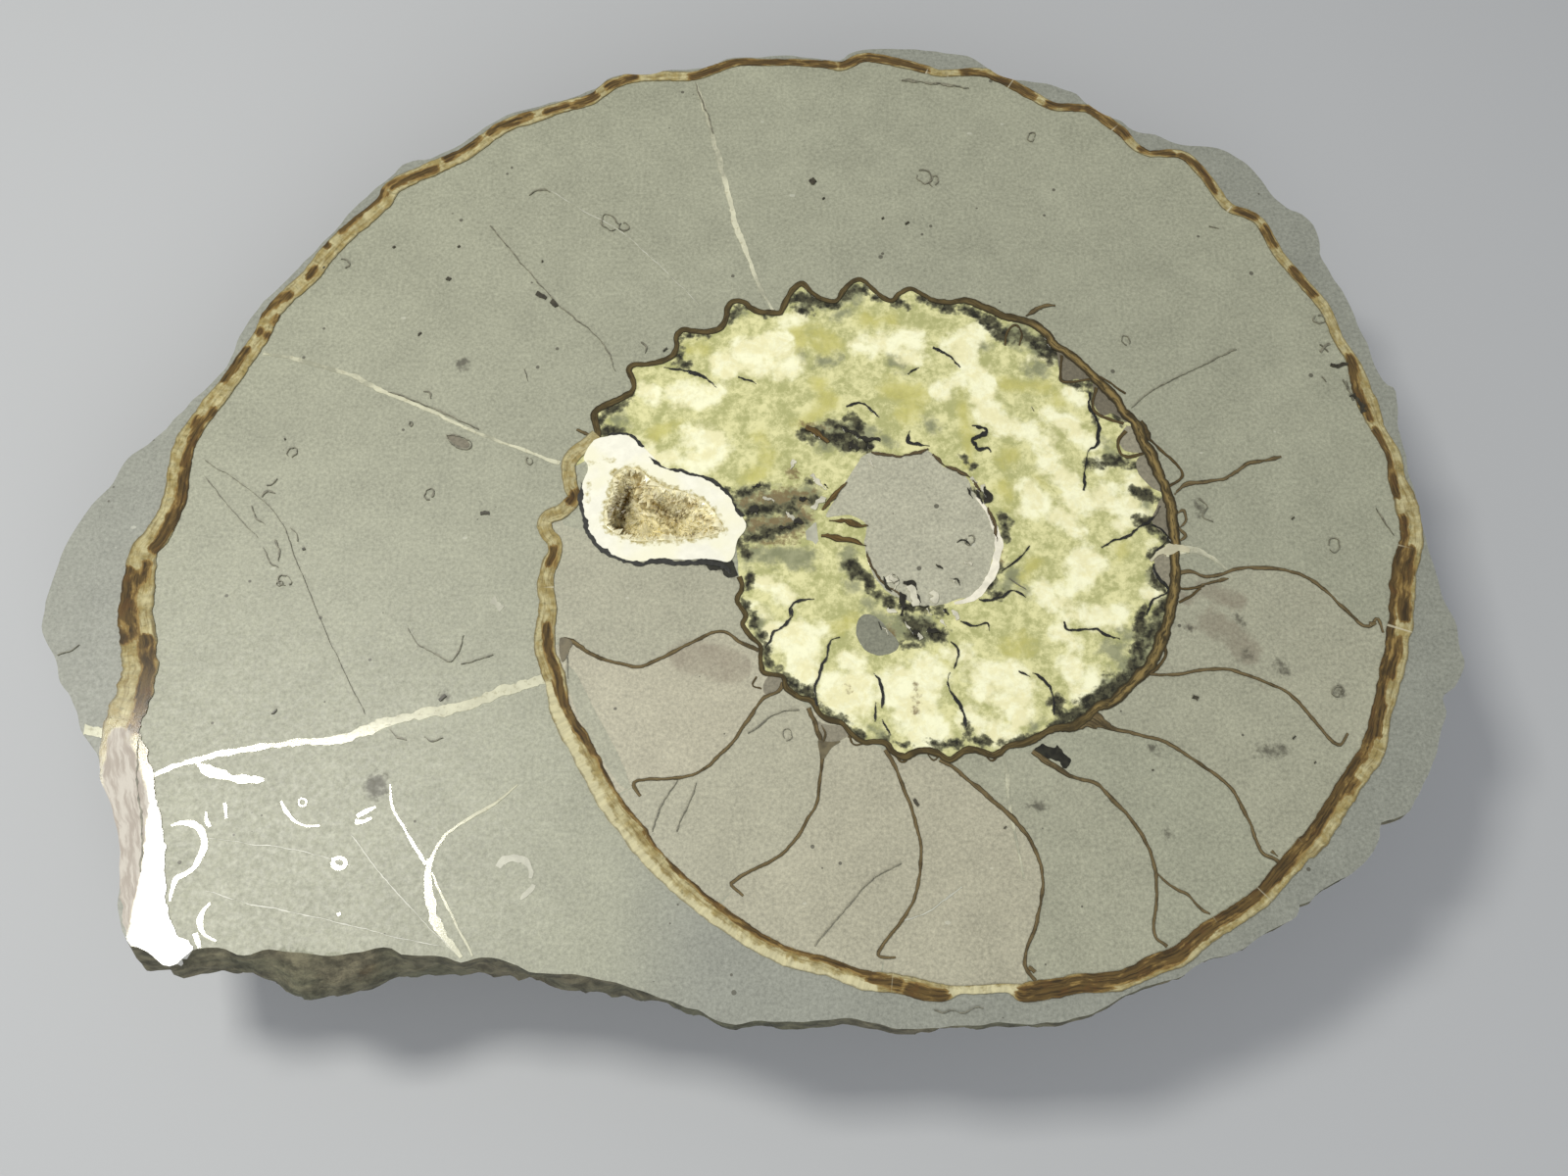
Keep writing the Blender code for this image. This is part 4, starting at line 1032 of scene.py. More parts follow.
def outline_of(marks, step=0.6 * MM, roughness=0.12 * MM):
    """A closed smooth outline on the face that wanders a little in and out."""
    outline = smooth_line(on_face(marks), step, closed=True)[:, :2]
    long, short = OUTLINE_WANDER_SIZES
    return outline + (wander_at(outline, long) + 0.5 * wander_at(outline, short, 1)) * roughness


def plate(outline, layer, warmth):
    """A plate of limestone, painted with how warm its colour is."""
    piece = patch("plate", outline, layer, step=PLATE_STEP)
    write_attribute(piece, "warmth", np.full(len(piece.data.vertices), warmth))
    return piece


def set_in(obj, material, replaces=()):
    """Gives a piece its material and its place on the stone, and hides the parts it replaces."""
    obj.data.materials.clear()
    obj.data.materials.append(material)
    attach(obj, "root")
    if replaces:
        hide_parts(*replaces)


def set_strips(name, rows, layer, material, slot, **shape):
    """Sets in strips of one width each, as one piece."""
    set_in(ribbons(name, strokes(rows), layer, **shape), material)


class Nodes:
    """Builds a node tree: each method adds a node and gives back its output."""

    def __init__(self, tree):
        self.tree = tree

    def feed(self, socket, value):
        if isinstance(value, bpy.types.NodeSocket):
            self.tree.links.new(value, socket)
        elif isinstance(value, (tuple, Color)):
            socket.default_value = (*value, 1.0)[: len(socket.default_value)]
        else:
            socket.default_value = value

    def add(self, kind, inputs, output=0, **settings):
        node = self.tree.nodes.new("ShaderNode" + kind)
        for name, value in settings.items():
            setattr(node, name, value)
        for key, value in inputs.items():
            self.feed(node.inputs[key], value)
        return node.outputs[output]

    def noise(self, vector, scale, detail=2.0, roughness=0.5, distortion=0.0):
        inputs = {"Vector": vector, "Scale": scale, "Detail": detail, "Roughness": roughness}
        return self.add("TexNoise", {**inputs, "Distortion": distortion}, "Fac")

    def cells(self, vector, scale):
        """Distance to the middle of the nearest cell."""
        return self.add("TexVoronoi", {"Vector": vector, "Scale": scale}, "Distance")

    def maths(self, operation, first, second):
        return self.add("Math", {0: first, 1: second}, operation=operation)

    def off_half(self, value, strength):
        """How far a value is above or below a half, times a strength."""
        return self.maths("MULTIPLY", self.maths("SUBTRACT", value, 0.5), strength)

    def fade(self, value, low, high, to_low=0.0, to_high=1.0):
        """A smooth rise from to_low to to_high while value goes from low to high."""
        inputs = {"Value": value, "From Min": low, "From Max": high, "To Min": to_low, "To Max": to_high}
        return self.add("MapRange", inputs, interpolation_type="SMOOTHSTEP")

    def mix(self, share, first, second, strength=None):
        """The first colour with a share of the second over it, at a strength below full if one is given."""
        if strength is not None:
            share = self.maths("MULTIPLY", share, strength)
        return self.add("Mix", {0: share, 6: first, 7: second}, 2, data_type="RGBA")

    def grade(self, value, low, high, first, second):
        """A colour that goes from the first to the second while value goes from low to high."""
        return self.mix(self.fade(value, low, high), first, second)

    def shade(self, colour_in, value):
        """A colour made darker or lighter by a value about 1."""
        return self.add("VectorMath", {0: colour_in, 3: value}, operation="SCALE")

    def attribute(self, name):
        return self.add("Attribute", {}, "Fac", attribute_name=name)

    def stretch(self, vector, *scale):
        return self.add("Mapping", {"Vector": vector, "Scale": scale})


class Finish(Nodes):
    """One material."""

    def __init__(self, name):
        self.material = bpy.data.materials.new(name)
        self.material.use_nodes = True
        super().__init__(self.material.node_tree)
        self.shader = self.tree.nodes["Principled BSDF"]
        self.place = self.add("TexCoord", {}, "Object")

    def clouds(self, scale, detail=2.0, roughness=0.5, distortion=0.0):
        """Noise all through the stone."""
        return self.noise(self.place, scale, detail, roughness, distortion)

    def run(self, width):
        """Coordinates that follow a ribbon: metres along it and across it."""
        across = self.maths("MULTIPLY", self.attribute("across"), width)
        return self.add("CombineXYZ", {"X": self.attribute("along"), "Y": across})

    def torn(self, name, scale, tear, low, high, vector=None):
        """A painted attribute as a mask with a torn, natural edge."""
        values = {"Mask": self.attribute(name), "Scale": scale, "Tear": tear, "Low": low, "High": high}
        sockets = {"Vector": "Vector", **dict.fromkeys(values, "Float")}
        tree = shared_group("Torn edge", sockets, {"Mask": "Float"}, build_torn_edge)
        return self.add("Group", {"Vector": vector or self.place, **values}, node_tree=tree)

    def bump(self, height, distance, strength):
        normal = self.add("Bump", {"Height": height, "Distance": distance, "Strength": strength})
        self.feed(self.shader.inputs["Normal"], normal)

    def done(self, base, gloss, **inputs):
        """Feeds the shader its colour, its roughness and any other input, and gives the material."""
        for name, value in {"Base Color": base, "Roughness": gloss, **inputs}.items():
            self.feed(self.shader.inputs[name], value)
        return self.material


def shared_group(name, inputs, outputs, build):
    """A node group that several materials use, made when the first of them asks for it."""
    tree = bpy.data.node_groups.get(name)
    if tree:
        return tree
    tree = bpy.data.node_groups.new(name, "ShaderNodeTree")
    for socket, kind in inputs.items():
        tree.interface.new_socket(socket, in_out="INPUT", socket_type="NodeSocket" + kind)
    for socket, kind in outputs.items():
        tree.interface.new_socket(socket, in_out="OUTPUT", socket_type="NodeSocket" + kind)
    entry = tree.nodes.new("NodeGroupInput")
    leave = tree.nodes.new("NodeGroupOutput")
    nodes = Nodes(tree)
    for socket, value in build(nodes, entry.outputs).items():
        nodes.feed(leave.inputs[socket], value)
    return tree


def build_stone_grain(nodes, given):
    """Fine-grained limestone: soft patches, fine grain and sparse specks, dark and pale."""
    place = given["Vector"]
    light = nodes.off_half(nodes.noise(place, 38, 3, 0.55), given["Patches"])
    light = nodes.maths("ADD", light, nodes.off_half(nodes.noise(place, 170, 3, 0.6), 0.35))
    light = nodes.maths("ADD", light, nodes.off_half(nodes.noise(place, 1700, 4, 0.75), 1.4))
    graded = nodes.shade(given["Colour"], nodes.maths("ADD", light, 1.0))
    reach = nodes.fade(nodes.noise(place, 150, 1), 0.5, 0.75, 0.0, 0.13)
    dark = nodes.maths("MULTIPLY", nodes.maths("LESS_THAN", nodes.cells(place, 290), reach), given["Specks"])
    graded = nodes.mix(dark, graded, (0.09, 0.085, 0.06))
    reach = nodes.fade(nodes.noise(place, 90, 1), 0.55, 0.8, 0.0, 0.12)
    pale = nodes.maths("LESS_THAN", nodes.cells(nodes.stretch(place, 1.0, 1.6, 1.0), 210), reach)
    return {"Colour": nodes.mix(pale, graded, (0.72, 0.72, 0.6), 0.35)}


def stone_grain():
    inputs = {"Vector": "Vector", "Colour": "Color", "Patches": "Float", "Specks": "Float"}
    return shared_group("Stone grain", inputs, {"Colour": "Color"}, build_stone_grain)


def build_torn_edge(nodes, given):
    """Turns a painted mask into one with a torn, natural edge."""
    tear = nodes.maths("MULTIPLY", given["Tear"], nodes.fade(given["Mask"], 0.0, 0.2))
    coarse = nodes.off_half(nodes.noise(given["Vector"], given["Scale"], 6, 0.62), tear)
    return {"Mask": nodes.fade(nodes.maths("ADD", given["Mask"], coarse), given["Low"], given["High"])}


def limestone_finish(name, cool, warm):
    """Polished limestone that goes from one colour to the other with its painted warmth."""
    settings = bpy.context.scene.ammonite_stone
    finish = Finish(name)
    base = finish.mix(finish.attribute("warmth"), cool, warm)
    inputs = {"Vector": finish.place, "Colour": base, "Patches": 0.2, "Specks": 0.85}
    base = finish.add("Group", inputs, node_tree=stone_grain())
    base = finish.mix(finish.torn("stain", 160, 1.1, 0.35, 1.5), base, settings.stain, 0.6)
    base = finish.mix(finish.torn("smudge", 900, 2.6, 0.1, 1.0), base, settings.smudge, 0.8)
    finish.bump(finish.clouds(2200), 0.004 * MM, 0.22)
    gloss = finish.fade(finish.clouds(900), 0.2, 0.8, settings.gloss - 0.05, settings.gloss + 0.06)
    return finish.done(base, gloss, IOR=1.5)


def broken_finish(settings):
    """Broken and weathered limestone of the sides and the back."""
    finish = Finish("Broken limestone")
    fine = finish.clouds(420, 4, 0.65)
    layers = finish.noise(finish.stretch(finish.place, 0.5, 0.5, 4.0), 150, 4, 0.6)
    skin = finish.maths("ADD", finish.clouds(60, 5, 0.62), finish.maths("MULTIPLY", layers, 0.35))
    base = finish.grade(skin, 0.5, 0.85, settings.broken, settings.weathered)
    light = finish.fade(layers, 0.3, 0.7, -0.14, 0.12)
    base = finish.shade(base, finish.maths("ADD", finish.fade(fine, 0.32, 0.7, 0.5, 1.25), light))
    rust = finish.fade(finish.clouds(95, 3, 0.6), 0.58, 0.75)
    base = finish.mix(rust, base, tone(128, 100, 62), 0.35)
    rough = finish.maths("ADD", fine, finish.maths("MULTIPLY", finish.clouds(1500, 3, 0.7), 0.4))
    facets = finish.cells(finish.stretch(finish.place, 1.0, 1.0, 1.5), 420)
    finish.bump(finish.maths("SUBTRACT", rough, facets), 0.6 * MM, 0.9)
    return finish.done(base, 0.85)


def outer_wall_finish(settings):
    """Shell in section: cream calcite, brown where it is painted so, in fine layers."""
    finish = Finish("Outer wall")
    run = finish.run(3 * MM)
    layers = finish.noise(finish.stretch(run, 0.07, 1.0, 1.0), 2600, 4, 0.66)
    prisms = finish.noise(finish.stretch(run, 1.0, 0.2, 1.0), 1300, 3, 0.6)
    blotches = finish.noise(finish.stretch(run, 0.6, 1.0, 1.0), 620, 5, 0.66)
    pale = finish.grade(blotches, 0.38, 0.62, settings.cream, tone(172, 154, 98))
    pale = finish.mix(finish.fade(layers, 0.48, 0.66, 0.0, 0.65), pale, tone(136, 114, 64))
    pale = finish.mix(finish.fade(finish.noise(run, 1500, 3), 0.56, 0.7, 0.0, 0.5), pale, tone(112, 108, 70))
    pale = finish.mix(finish.torn("cream", 900, 3.0, 0.1, 0.9), pale, tone(230, 222, 178), 0.9)
    pale = finish.shade(pale, finish.fade(prisms, 0.3, 0.7, 0.84, 1.12))
    dark = finish.grade(layers, 0.36, 0.6, settings.dark_brown, settings.brown)
    dark = finish.mix(finish.fade(blotches, 0.5, 0.66, 0.0, 0.5), dark, tone(110, 78, 42))
    golden = finish.grade(layers, 0.4, 0.6, tone(126, 100, 52), tone(170, 142, 84))
    long = finish.stretch(run, 0.3, 1.0, 1.0)
    brown = finish.torn("brown", 800, 3.6, 0.0, 1.0, long)
    body = finish.grade(brown, 0.0, 0.4, pale, golden)
    body = finish.grade(brown, 0.5, 1.05, body, dark)
    across = finish.attribute("across")
    to_edge = finish.maths("MINIMUM", across, finish.maths("SUBTRACT", 1.0, across))
    to_edge = finish.maths("ADD", to_edge, finish.fade(blotches, 0.3, 0.7, -0.05, 0.05))
    body = finish.mix(finish.fade(to_edge, 0.0, 0.1, 0.55, 0.0), body, settings.dark_brown)
    cracks = finish.noise(finish.stretch(run, 1.0, 0.05, 1.0), 560, 2)
    body = finish.mix(finish.fade(cracks, 0.66, 0.7, 0.0, 0.75), body, tone(224, 216, 186))
    # Painted highlight: near-white glare painted over the wall's end, on top of the key lamp's real
    # reflection
    body = finish.mix(finish.torn("bare", 800, 1.5, 0.3, 0.8), body, tone(240, 238, 230))
    dull = finish.torn("dull", 700, 2.0, 0.2, 0.8, long)
    stripes = finish.grade(layers, 0.4, 0.6, tone(222, 214, 200), tone(186, 174, 160))
    gloss = finish.mix(dull, (settings.gloss,) * 3, (0.5,) * 3)
    return finish.done(finish.mix(dull, body, stripes), gloss)


def thin_shell_finish(name, colour_in, centre=None):
    """Thin brown shell with dark edges; where it is painted pale its middle is paler."""
    finish = Finish(name)
    streaks = finish.noise(finish.stretch(finish.run(1.5 * MM), 0.15, 1.0, 1.0), 2600, 4, 0.66)
    base = finish.shade(colour_in, finish.fade(streaks, 0.36, 0.64, 0.62, 1.34))
    off_middle = finish.maths("SUBTRACT", finish.attribute("across"), 0.5)
    off_middle = finish.maths("ABSOLUTE", off_middle, 0.0)
    base = finish.mix(finish.fade(finish.clouds(300, 4, 0.65), 0.5, 0.64, 0.0, 0.55), base, tone(60, 52, 34))
    base = finish.mix(finish.fade(off_middle, 0.26, 0.48, 0.0, 0.85), base, tone(52, 47, 30))
    if centre:
        band = finish.fade(off_middle, 0.1, 0.34, 1.0, 0.0)
        band = finish.maths("MULTIPLY", band, finish.attribute("pale"))
        base = finish.mix(band, base, centre, finish.fade(streaks, 0.4, 0.56))
    return finish.done(base, bpy.context.scene.ammonite_shell.gloss)


def calcite_finish(settings):
    """Cloudy calcite of the whorls: pale green with white clouds, clear patches and dark clay."""
    finish = Finish("Cloudy calcite")
    wisps = finish.clouds(240, 8, 0.7, 0.4)
    fine = finish.clouds(1000, 4, 0.7)
    cloud = finish.maths("ADD", wisps, finish.off_half(fine, 0.6))
    body = finish.grade(cloud, 0.34, 0.66, tone(204, 205, 138), tone(250, 246, 184))
    clear = finish.grade(fine, 0.35, 0.65, settings.green, tone(206, 200, 112))
    body = finish.mix(finish.torn("green", 280, 2.8, 0.05, 1.15), body, clear, 0.75)
    body = finish.mix(finish.torn("clay", 420, 2.8, 0.1, 1.1), body, tone(144, 148, 118), 0.8)
    milk = finish.grade(wisps, 0.4, 0.58, settings.white, (1.0, 0.99, 0.68))
    body = finish.mix(finish.torn("white", 280, 3.4, -0.05, 0.9), body, milk)
    body = finish.shade(body, finish.fade(cloud, 0.36, 0.66, 0.9, 1.03))
    body = finish.mix(finish.torn("brown", 900, 3.5, 0.25, 1.1), body, tone(136, 114, 78), 0.8)
    dark = finish.torn("dark", 620, 3.4, -0.05, 1.3)
    body = finish.mix(finish.fade(dark, 0.04, 0.5, 0.0, 0.85), body, tone(122, 122, 92))
    clay = finish.grade(fine, 0.4, 0.62, settings.clay, tone(88, 86, 64))
    return finish.done(finish.grade(dark, 0.3, 0.95, body, clay), settings.gloss)


def vein_finish(settings):
    """White vein calcite with dull flecks, gone in places where it is painted faint."""
    finish = Finish("Vein calcite")
    base = finish.shade(settings.vein, finish.fade(finish.clouds(520, 4, 0.6), 0.3, 0.7, 0.88, 1.06))
    flecks = finish.fade(finish.clouds(1300, 3, 0.6), 0.54, 0.68, 0.0, 0.4)
    base = finish.mix(flecks, base, tone(160, 152, 112))
    gone = finish.fade(finish.clouds(260, 4, 0.65), 0.4, 0.6, 0.15, 0.95)
    base = finish.mix(finish.attribute("faint"), base, tone(172, 172, 150), gone)
    return finish.done(base, settings.gloss)


def rim_finish(settings):
    """The hollow's white rim, tan where it breaks up into crystals at the mouth."""
    finish = Finish("Rim calcite")
    fringe = finish.torn("fringe", 1100, 2.6, 0.15, 1.05)
    white = finish.shade(settings.rim, finish.fade(finish.clouds(700, 4, 0.6), 0.3, 0.7, 0.94, 1.03))
    cream = finish.fade(finish.clouds(95, 3, 0.6), 0.42, 0.62, 0.0, 0.8)
    white = finish.mix(cream, white, (0.98, 0.95, 0.7))
    base = finish.grade(fringe, 0.0, 0.6, white, tone(244, 238, 198))
    grains = finish.fade(finish.clouds(2600, 3, 0.7), 0.4, 0.6)
    grains = finish.mix(grains, tone(184, 168, 108), tone(232, 222, 172))
    return finish.done(finish.grade(fringe, 0.45, 1.0, base, grains), settings.gloss)


def plain_calcite_finish(name, colour_in, gloss, mottle=0.2):
    finish = Finish(name)
    light = finish.fade(finish.clouds(520, 4, 0.6), 0.3, 0.7, 1 - mottle, 1 + mottle * 0.3)
    return finish.done(finish.shade(colour_in, light), gloss)


def crystal_finish(settings):
    """Tan crystals, brown in patches, pale at the mouth, with painted shade, dark olive-brown, in the
    crevices.
    """
    finish = Finish("Tan crystals")
    stain = finish.fade(finish.clouds(190, 3, 0.6), 0.5, 0.66)
    base = finish.mix(stain, settings.tan, settings.brown)
    base = finish.mix(finish.attribute("pale"), base, (0.88, 0.82, 0.54))
    # Painted shade: the crevices of the crust are painted dark olive-brown
    base = finish.mix(finish.torn("crevice", 900, 3.0, 0.2, 1.0), base, tone(104, 80, 26))
    base = finish.shade(base, finish.fade(finish.clouds(900), 0.25, 0.75, 0.8, 1.25))
    return finish.done(base, 0.22, IOR=1.6)


def dark_finish(name, colour_in, gloss=0.3):
    finish = Finish(name)
    base = finish.shade(colour_in, finish.fade(finish.clouds(1200, 3), 0.3, 0.7, 0.6, 1.4))
    return finish.done(base, gloss)


def coil_relief(places):
    """Height of the whorls and their ribs above the plain dome of the back."""
    offset = places - COIL_CENTRE
    angle = np.arctan2(offset[:, 1], offset[:, 0])
    radius = np.maximum(np.hypot(*offset.T), COIL_EYE_RADIUS)
    turns = np.log(radius / COIL_RADIUS) / math.log(COIL_GROWTH) - angle / math.tau
    across = turns - np.floor(turns)
    size = smooth_step(radius / COIL_RADIUS)
    ribs = RIB_HEIGHT * np.cos(RIBS_PER_TURN * angle + RIB_SWEEP * math.tau * across)
    crown = np.sin(math.pi * across) ** WHORL_ROUNDNESS
    return size * (crown * (WHORL_BULGE + ribs) - WHORL_BULGE * WHORL_SUNK_SHARE)


def rock_relief(points):
    """Lumps, ridges and broken facets of rough limestone."""
    relief = sum(height * noise_at(points, size) for size, height in ROCK_LUMPS)
    size, height = ROCK_RIDGES
    relief += height * (0.5 - 2 * np.abs(noise_at(points + 0.3, size)))
    size, height = ROCK_FACETS
    nearest = [noise.voronoi(Vector(point) / size)[0][0] for point in points]
    return relief + height * (0.5 - np.array(nearest))


def broken_reach(edge):
    """How far the broken side stands out past each point of the front edge."""
    foot = on_face(BROKEN_FOOT_PX, BROKEN_FOOT_DEPTH)
    inside = (edge[:, 1] < DOME_CENTRE[1]) & (edge[:, 0] > foot[0, 0]) & (edge[:, 0] < foot[-1, 0])
    reach = edge[:, 1] - np.interp(edge[:, 0], foot[:, 0], foot[:, 1])
    return np.where(inside, np.maximum(reach, 0), 0)


def back_ring(edge, reach, level):
    """One ring of the sides and the domed back: level 0 is the edge, 1 the deepest point."""
    swing = level * math.pi / 2
    offset = edge - DOME_CENTRE
    angle = np.arctan2(offset[:, 1], offset[:, 0])
    from_steep = (angle - STEEP_SIDE_ANGLE + math.pi) % math.tau - math.pi
    fullness = DOME_FULLNESS + STEEP_FULLNESS * np.exp(-((from_steep / STEEP_SIDE_SPREAD) ** 2))
    share = math.cos(swing) ** (2 / fullness)
    depth = DOME_DEPTH * math.sin(swing) ** (2 / fullness)
    round_edge = np.column_stack([DOME_HALF_SIZE[0] * np.cos(angle), DOME_HALF_SIZE[1] * np.sin(angle)])
    places = DOME_CENTRE + share[:, None] * (offset + (1 - share)[:, None] * (round_edge - offset))
    points = np.column_stack([places, STONE_HIGH.z - depth])
    sideways = offset / np.hypot(*offset.T)[:, None] * math.cos(swing)
    outward = np.column_stack([sideways, np.full(len(edge), -math.sin(swing))])
    crown = smooth_step((level - CROWN_FROM_LEVEL) / CROWN_LEVELS)
    strength = smooth_step(depth / ROUGH_FROM_DEPTH) * (1 - crown)
    relief = coil_relief(places) * math.sin(swing) + rock_relief(points)
    most = MOST_RELIEF_SHARE * depth + np.where(reach > 0, BROKEN_RELIEF, 0)
    points += outward * (np.minimum(relief, most) * strength)[:, None]
    points[:, 1] -= reach * np.sin(math.pi * np.minimum(depth / (2 * BROKEN_FOOT_DEPTH), 1))
    return np.clip(points, STONE_LOW, STONE_HIGH)


def hollow_ring(mouth, share, depth, inset=0.0):
    """A ring round the hollow's wall, pulled in from it by inset."""
    middle = mouth.mean(axis=0)
    spokes = mouth - middle
    spokes *= share * (1 - inset / np.hypot(*spokes.T)[:, None])
    drift = np.array((HOLLOW_DRIFT * depth / HOLLOW_DEPTH, 0))
    height = np.full(len(mouth), STONE_HIGH.z - depth)
    return np.column_stack([middle + drift + spokes, height])


def loft_faces(rows):
    """Quads between rows of vertex numbers that go round a body, and a face that closes the last row."""
    faces = []
    for upper, lower in zip(rows, rows[1:]):
        faces += [(a, b, c, d) for a, b, c, d in zip(upper, lower, np.roll(lower, -1), np.roll(upper, -1))]
    return [tuple(int(v) for v in face) for face in (*faces, rows[-1])]


def recalculate_normals(obj):
    make_active(obj)
    bpy.ops.object.mode_set(mode="EDIT")
    bpy.ops.mesh.select_all(action="SELECT")
    bpy.ops.mesh.normals_make_consistent(inside=False)
    bpy.ops.object.mode_set(mode="OBJECT")


def paint(obj, softness, **lines_by_name):
    """Writes one attribute for each set of lines: how far a vertex lies under them."""
    places = coords_of(obj)[:, :2]
    for name, lines in lines_by_name.items():
        write_attribute(obj, name, stroke_mask(places, lines, softness))


def paint_stains(obj):
    paint(obj, STAIN_SOFTNESS, stain=strokes(STAINS_PX), smudge=strokes(SMUDGES_PX))


class AMMONITE_OT_stone(bpy.types.Operator):
    """Model the stone: the sawn face with its hollow, the broken sides and the domed back"""

    bl_idname = "ammonite.stone"
    bl_label = "Stone"

    def execute(self, context):
        settings = context.scene.ammonite_stone
        edge = face_edge(settings.edge_step)
        mouth = smooth_line(on_face(HOLLOW_MOUTH_PX), step=0.9 * MM, closed=True)
        corners, triangles, index = triangulate(edge, [mouth], settings.face_step)
        reach = broken_reach(edge)
        levels = np.linspace(0, LAST_RING_LEVEL, settings.back_rings + 1)[1:]
        back = [back_ring(edge, reach, level) for level in levels]
        hollow = [hollow_ring(mouth, share, down * HOLLOW_DEPTH) for share, down in HOLLOW_WALL[1:]]
        points = [np.column_stack([corners, np.full(len(corners), height_of("limestone"))])]
        faces = [tuple(face) for face in triangles]
        first = 0
        for loop, rings in ((edge, back), (mouth, hollow)):
            count = len(loop)
            total = sum(len(part) for part in points)
            rows = [np.array([index[first + i] for i in range(count)])]
            rows += [np.arange(count) + total + i * count for i in range(len(rings))]
            faces += loft_faces(rows)
            points += rings
            first += count
        obj = new_object("stone", np.vstack(points), faces)
        recalculate_normals(obj)
        write_attribute(obj, "warmth", self.warmth(coords_of(obj)[:, :2]))
        paint_stains(obj)
        finish = limestone_finish("Polished limestone", settings.outside, settings.inside)
        set_in(obj, finish, ["ammonite_stone"])
        obj.data.materials.append(broken_finish(settings))
        broken = np.arange(len(faces)) >= len(triangles)
        obj.data.polygons.foreach_set("material_index", broken.astype(np.int32))
        make_active(obj)
        bpy.ops.object.shade_smooth_by_angle(angle=SMOOTH_ANGLE)
        return {"FINISHED"}

    def warmth(self, places):
        """The limestone that fills the shell is warmer than the limestone round it."""
        last_turn = SHELL_WALL_PX[SHELL_WALL_PX.index(LAST_TURN_START_PX) :]
        shell = smooth_line(on_face(last_turn), step=1.5 * MM)
        below = on_face([SHELL_WALL_PX[-1], *BELOW_MOUTH_PX, LAST_TURN_START_PX])
        inside = inside_outline(places, np.vstack([shell, below])[:, :2])
        near_shell, _ = distance_to_line(places, shell)
        near_below, _ = distance_to_line(places, below)
        distance = np.minimum(near_shell / SHELL_SOFTNESS, near_below / BELOW_MOUTH_SOFTNESS)
        return smooth_step(0.5 + np.where(inside, distance, -distance))


class AMMONITE_OT_chambers(bpy.types.Operator):
    """Fill the chambers between the septa with their own limestone"""

    bl_idname = "ammonite.chambers"
    bl_label = "Chambers"

    def execute(self, context):
        settings = context.scene.ammonite_stone
        wall = smooth_line(on_face(SHELL_WALL_PX), step=0.6 * MM)[:, :2]
        lines = [on_face(FIRST_CHAMBER_PX)[:, :2]]
        lines += [smooth_line(on_face(septum), step=0.6 * MM)[:-3, :2] for septum in SEPTA_PX]
        ends = [np.hypot(*(wall - line[-1]).T).argmin() for line in lines]
        plates = []
        for i, warmth in enumerate(CHAMBER_WARMTHS):
            outline = np.vstack([lines[i], wall[ends[i] : ends[i + 1]], lines[i + 1][::-1]])
            plates.append(plate(outline, "chamber", warmth))
        plates.append(plate(outline_of(WALL_GAP_PX), "umbilicus", WALL_GAP_WARMTH))
        obj = join("chambers", plates)
        paint_stains(obj)
        set_in(obj, limestone_finish("Chamber limestone", settings.inside, settings.chamber))
        return {"FINISHED"}


class AMMONITE_OT_calcite(bpy.types.Operator):
    """Fill the inner whorls with cloudy calcite"""

    bl_idname = "ammonite.calcite"
    bl_label = "Calcite"

    def execute(self, context):
        settings = context.scene.ammonite_calcite
        marks = [mark[:2] for mark in INNER_WALL_PX] + CALCITE_END_PX
        obj = patch("whorl_calcite", outline_of(marks), "calcite", step=settings.step)
        white, green, clay = (strokes(rows) for rows in (WHITE_PATCHES_PX, GREEN_PATCHES_PX, CLAY_PATCHES_PX))
        paint(obj, CLOUD_SOFTNESS, white=white, green=green, clay=clay)
        paint(obj, DARK_SOFTNESS, dark=strokes(DARK_PATCHES_PX), brown=strokes(BROWN_PATCHES_PX))
        set_in(obj, calcite_finish(settings))
        return {"FINISHED"}


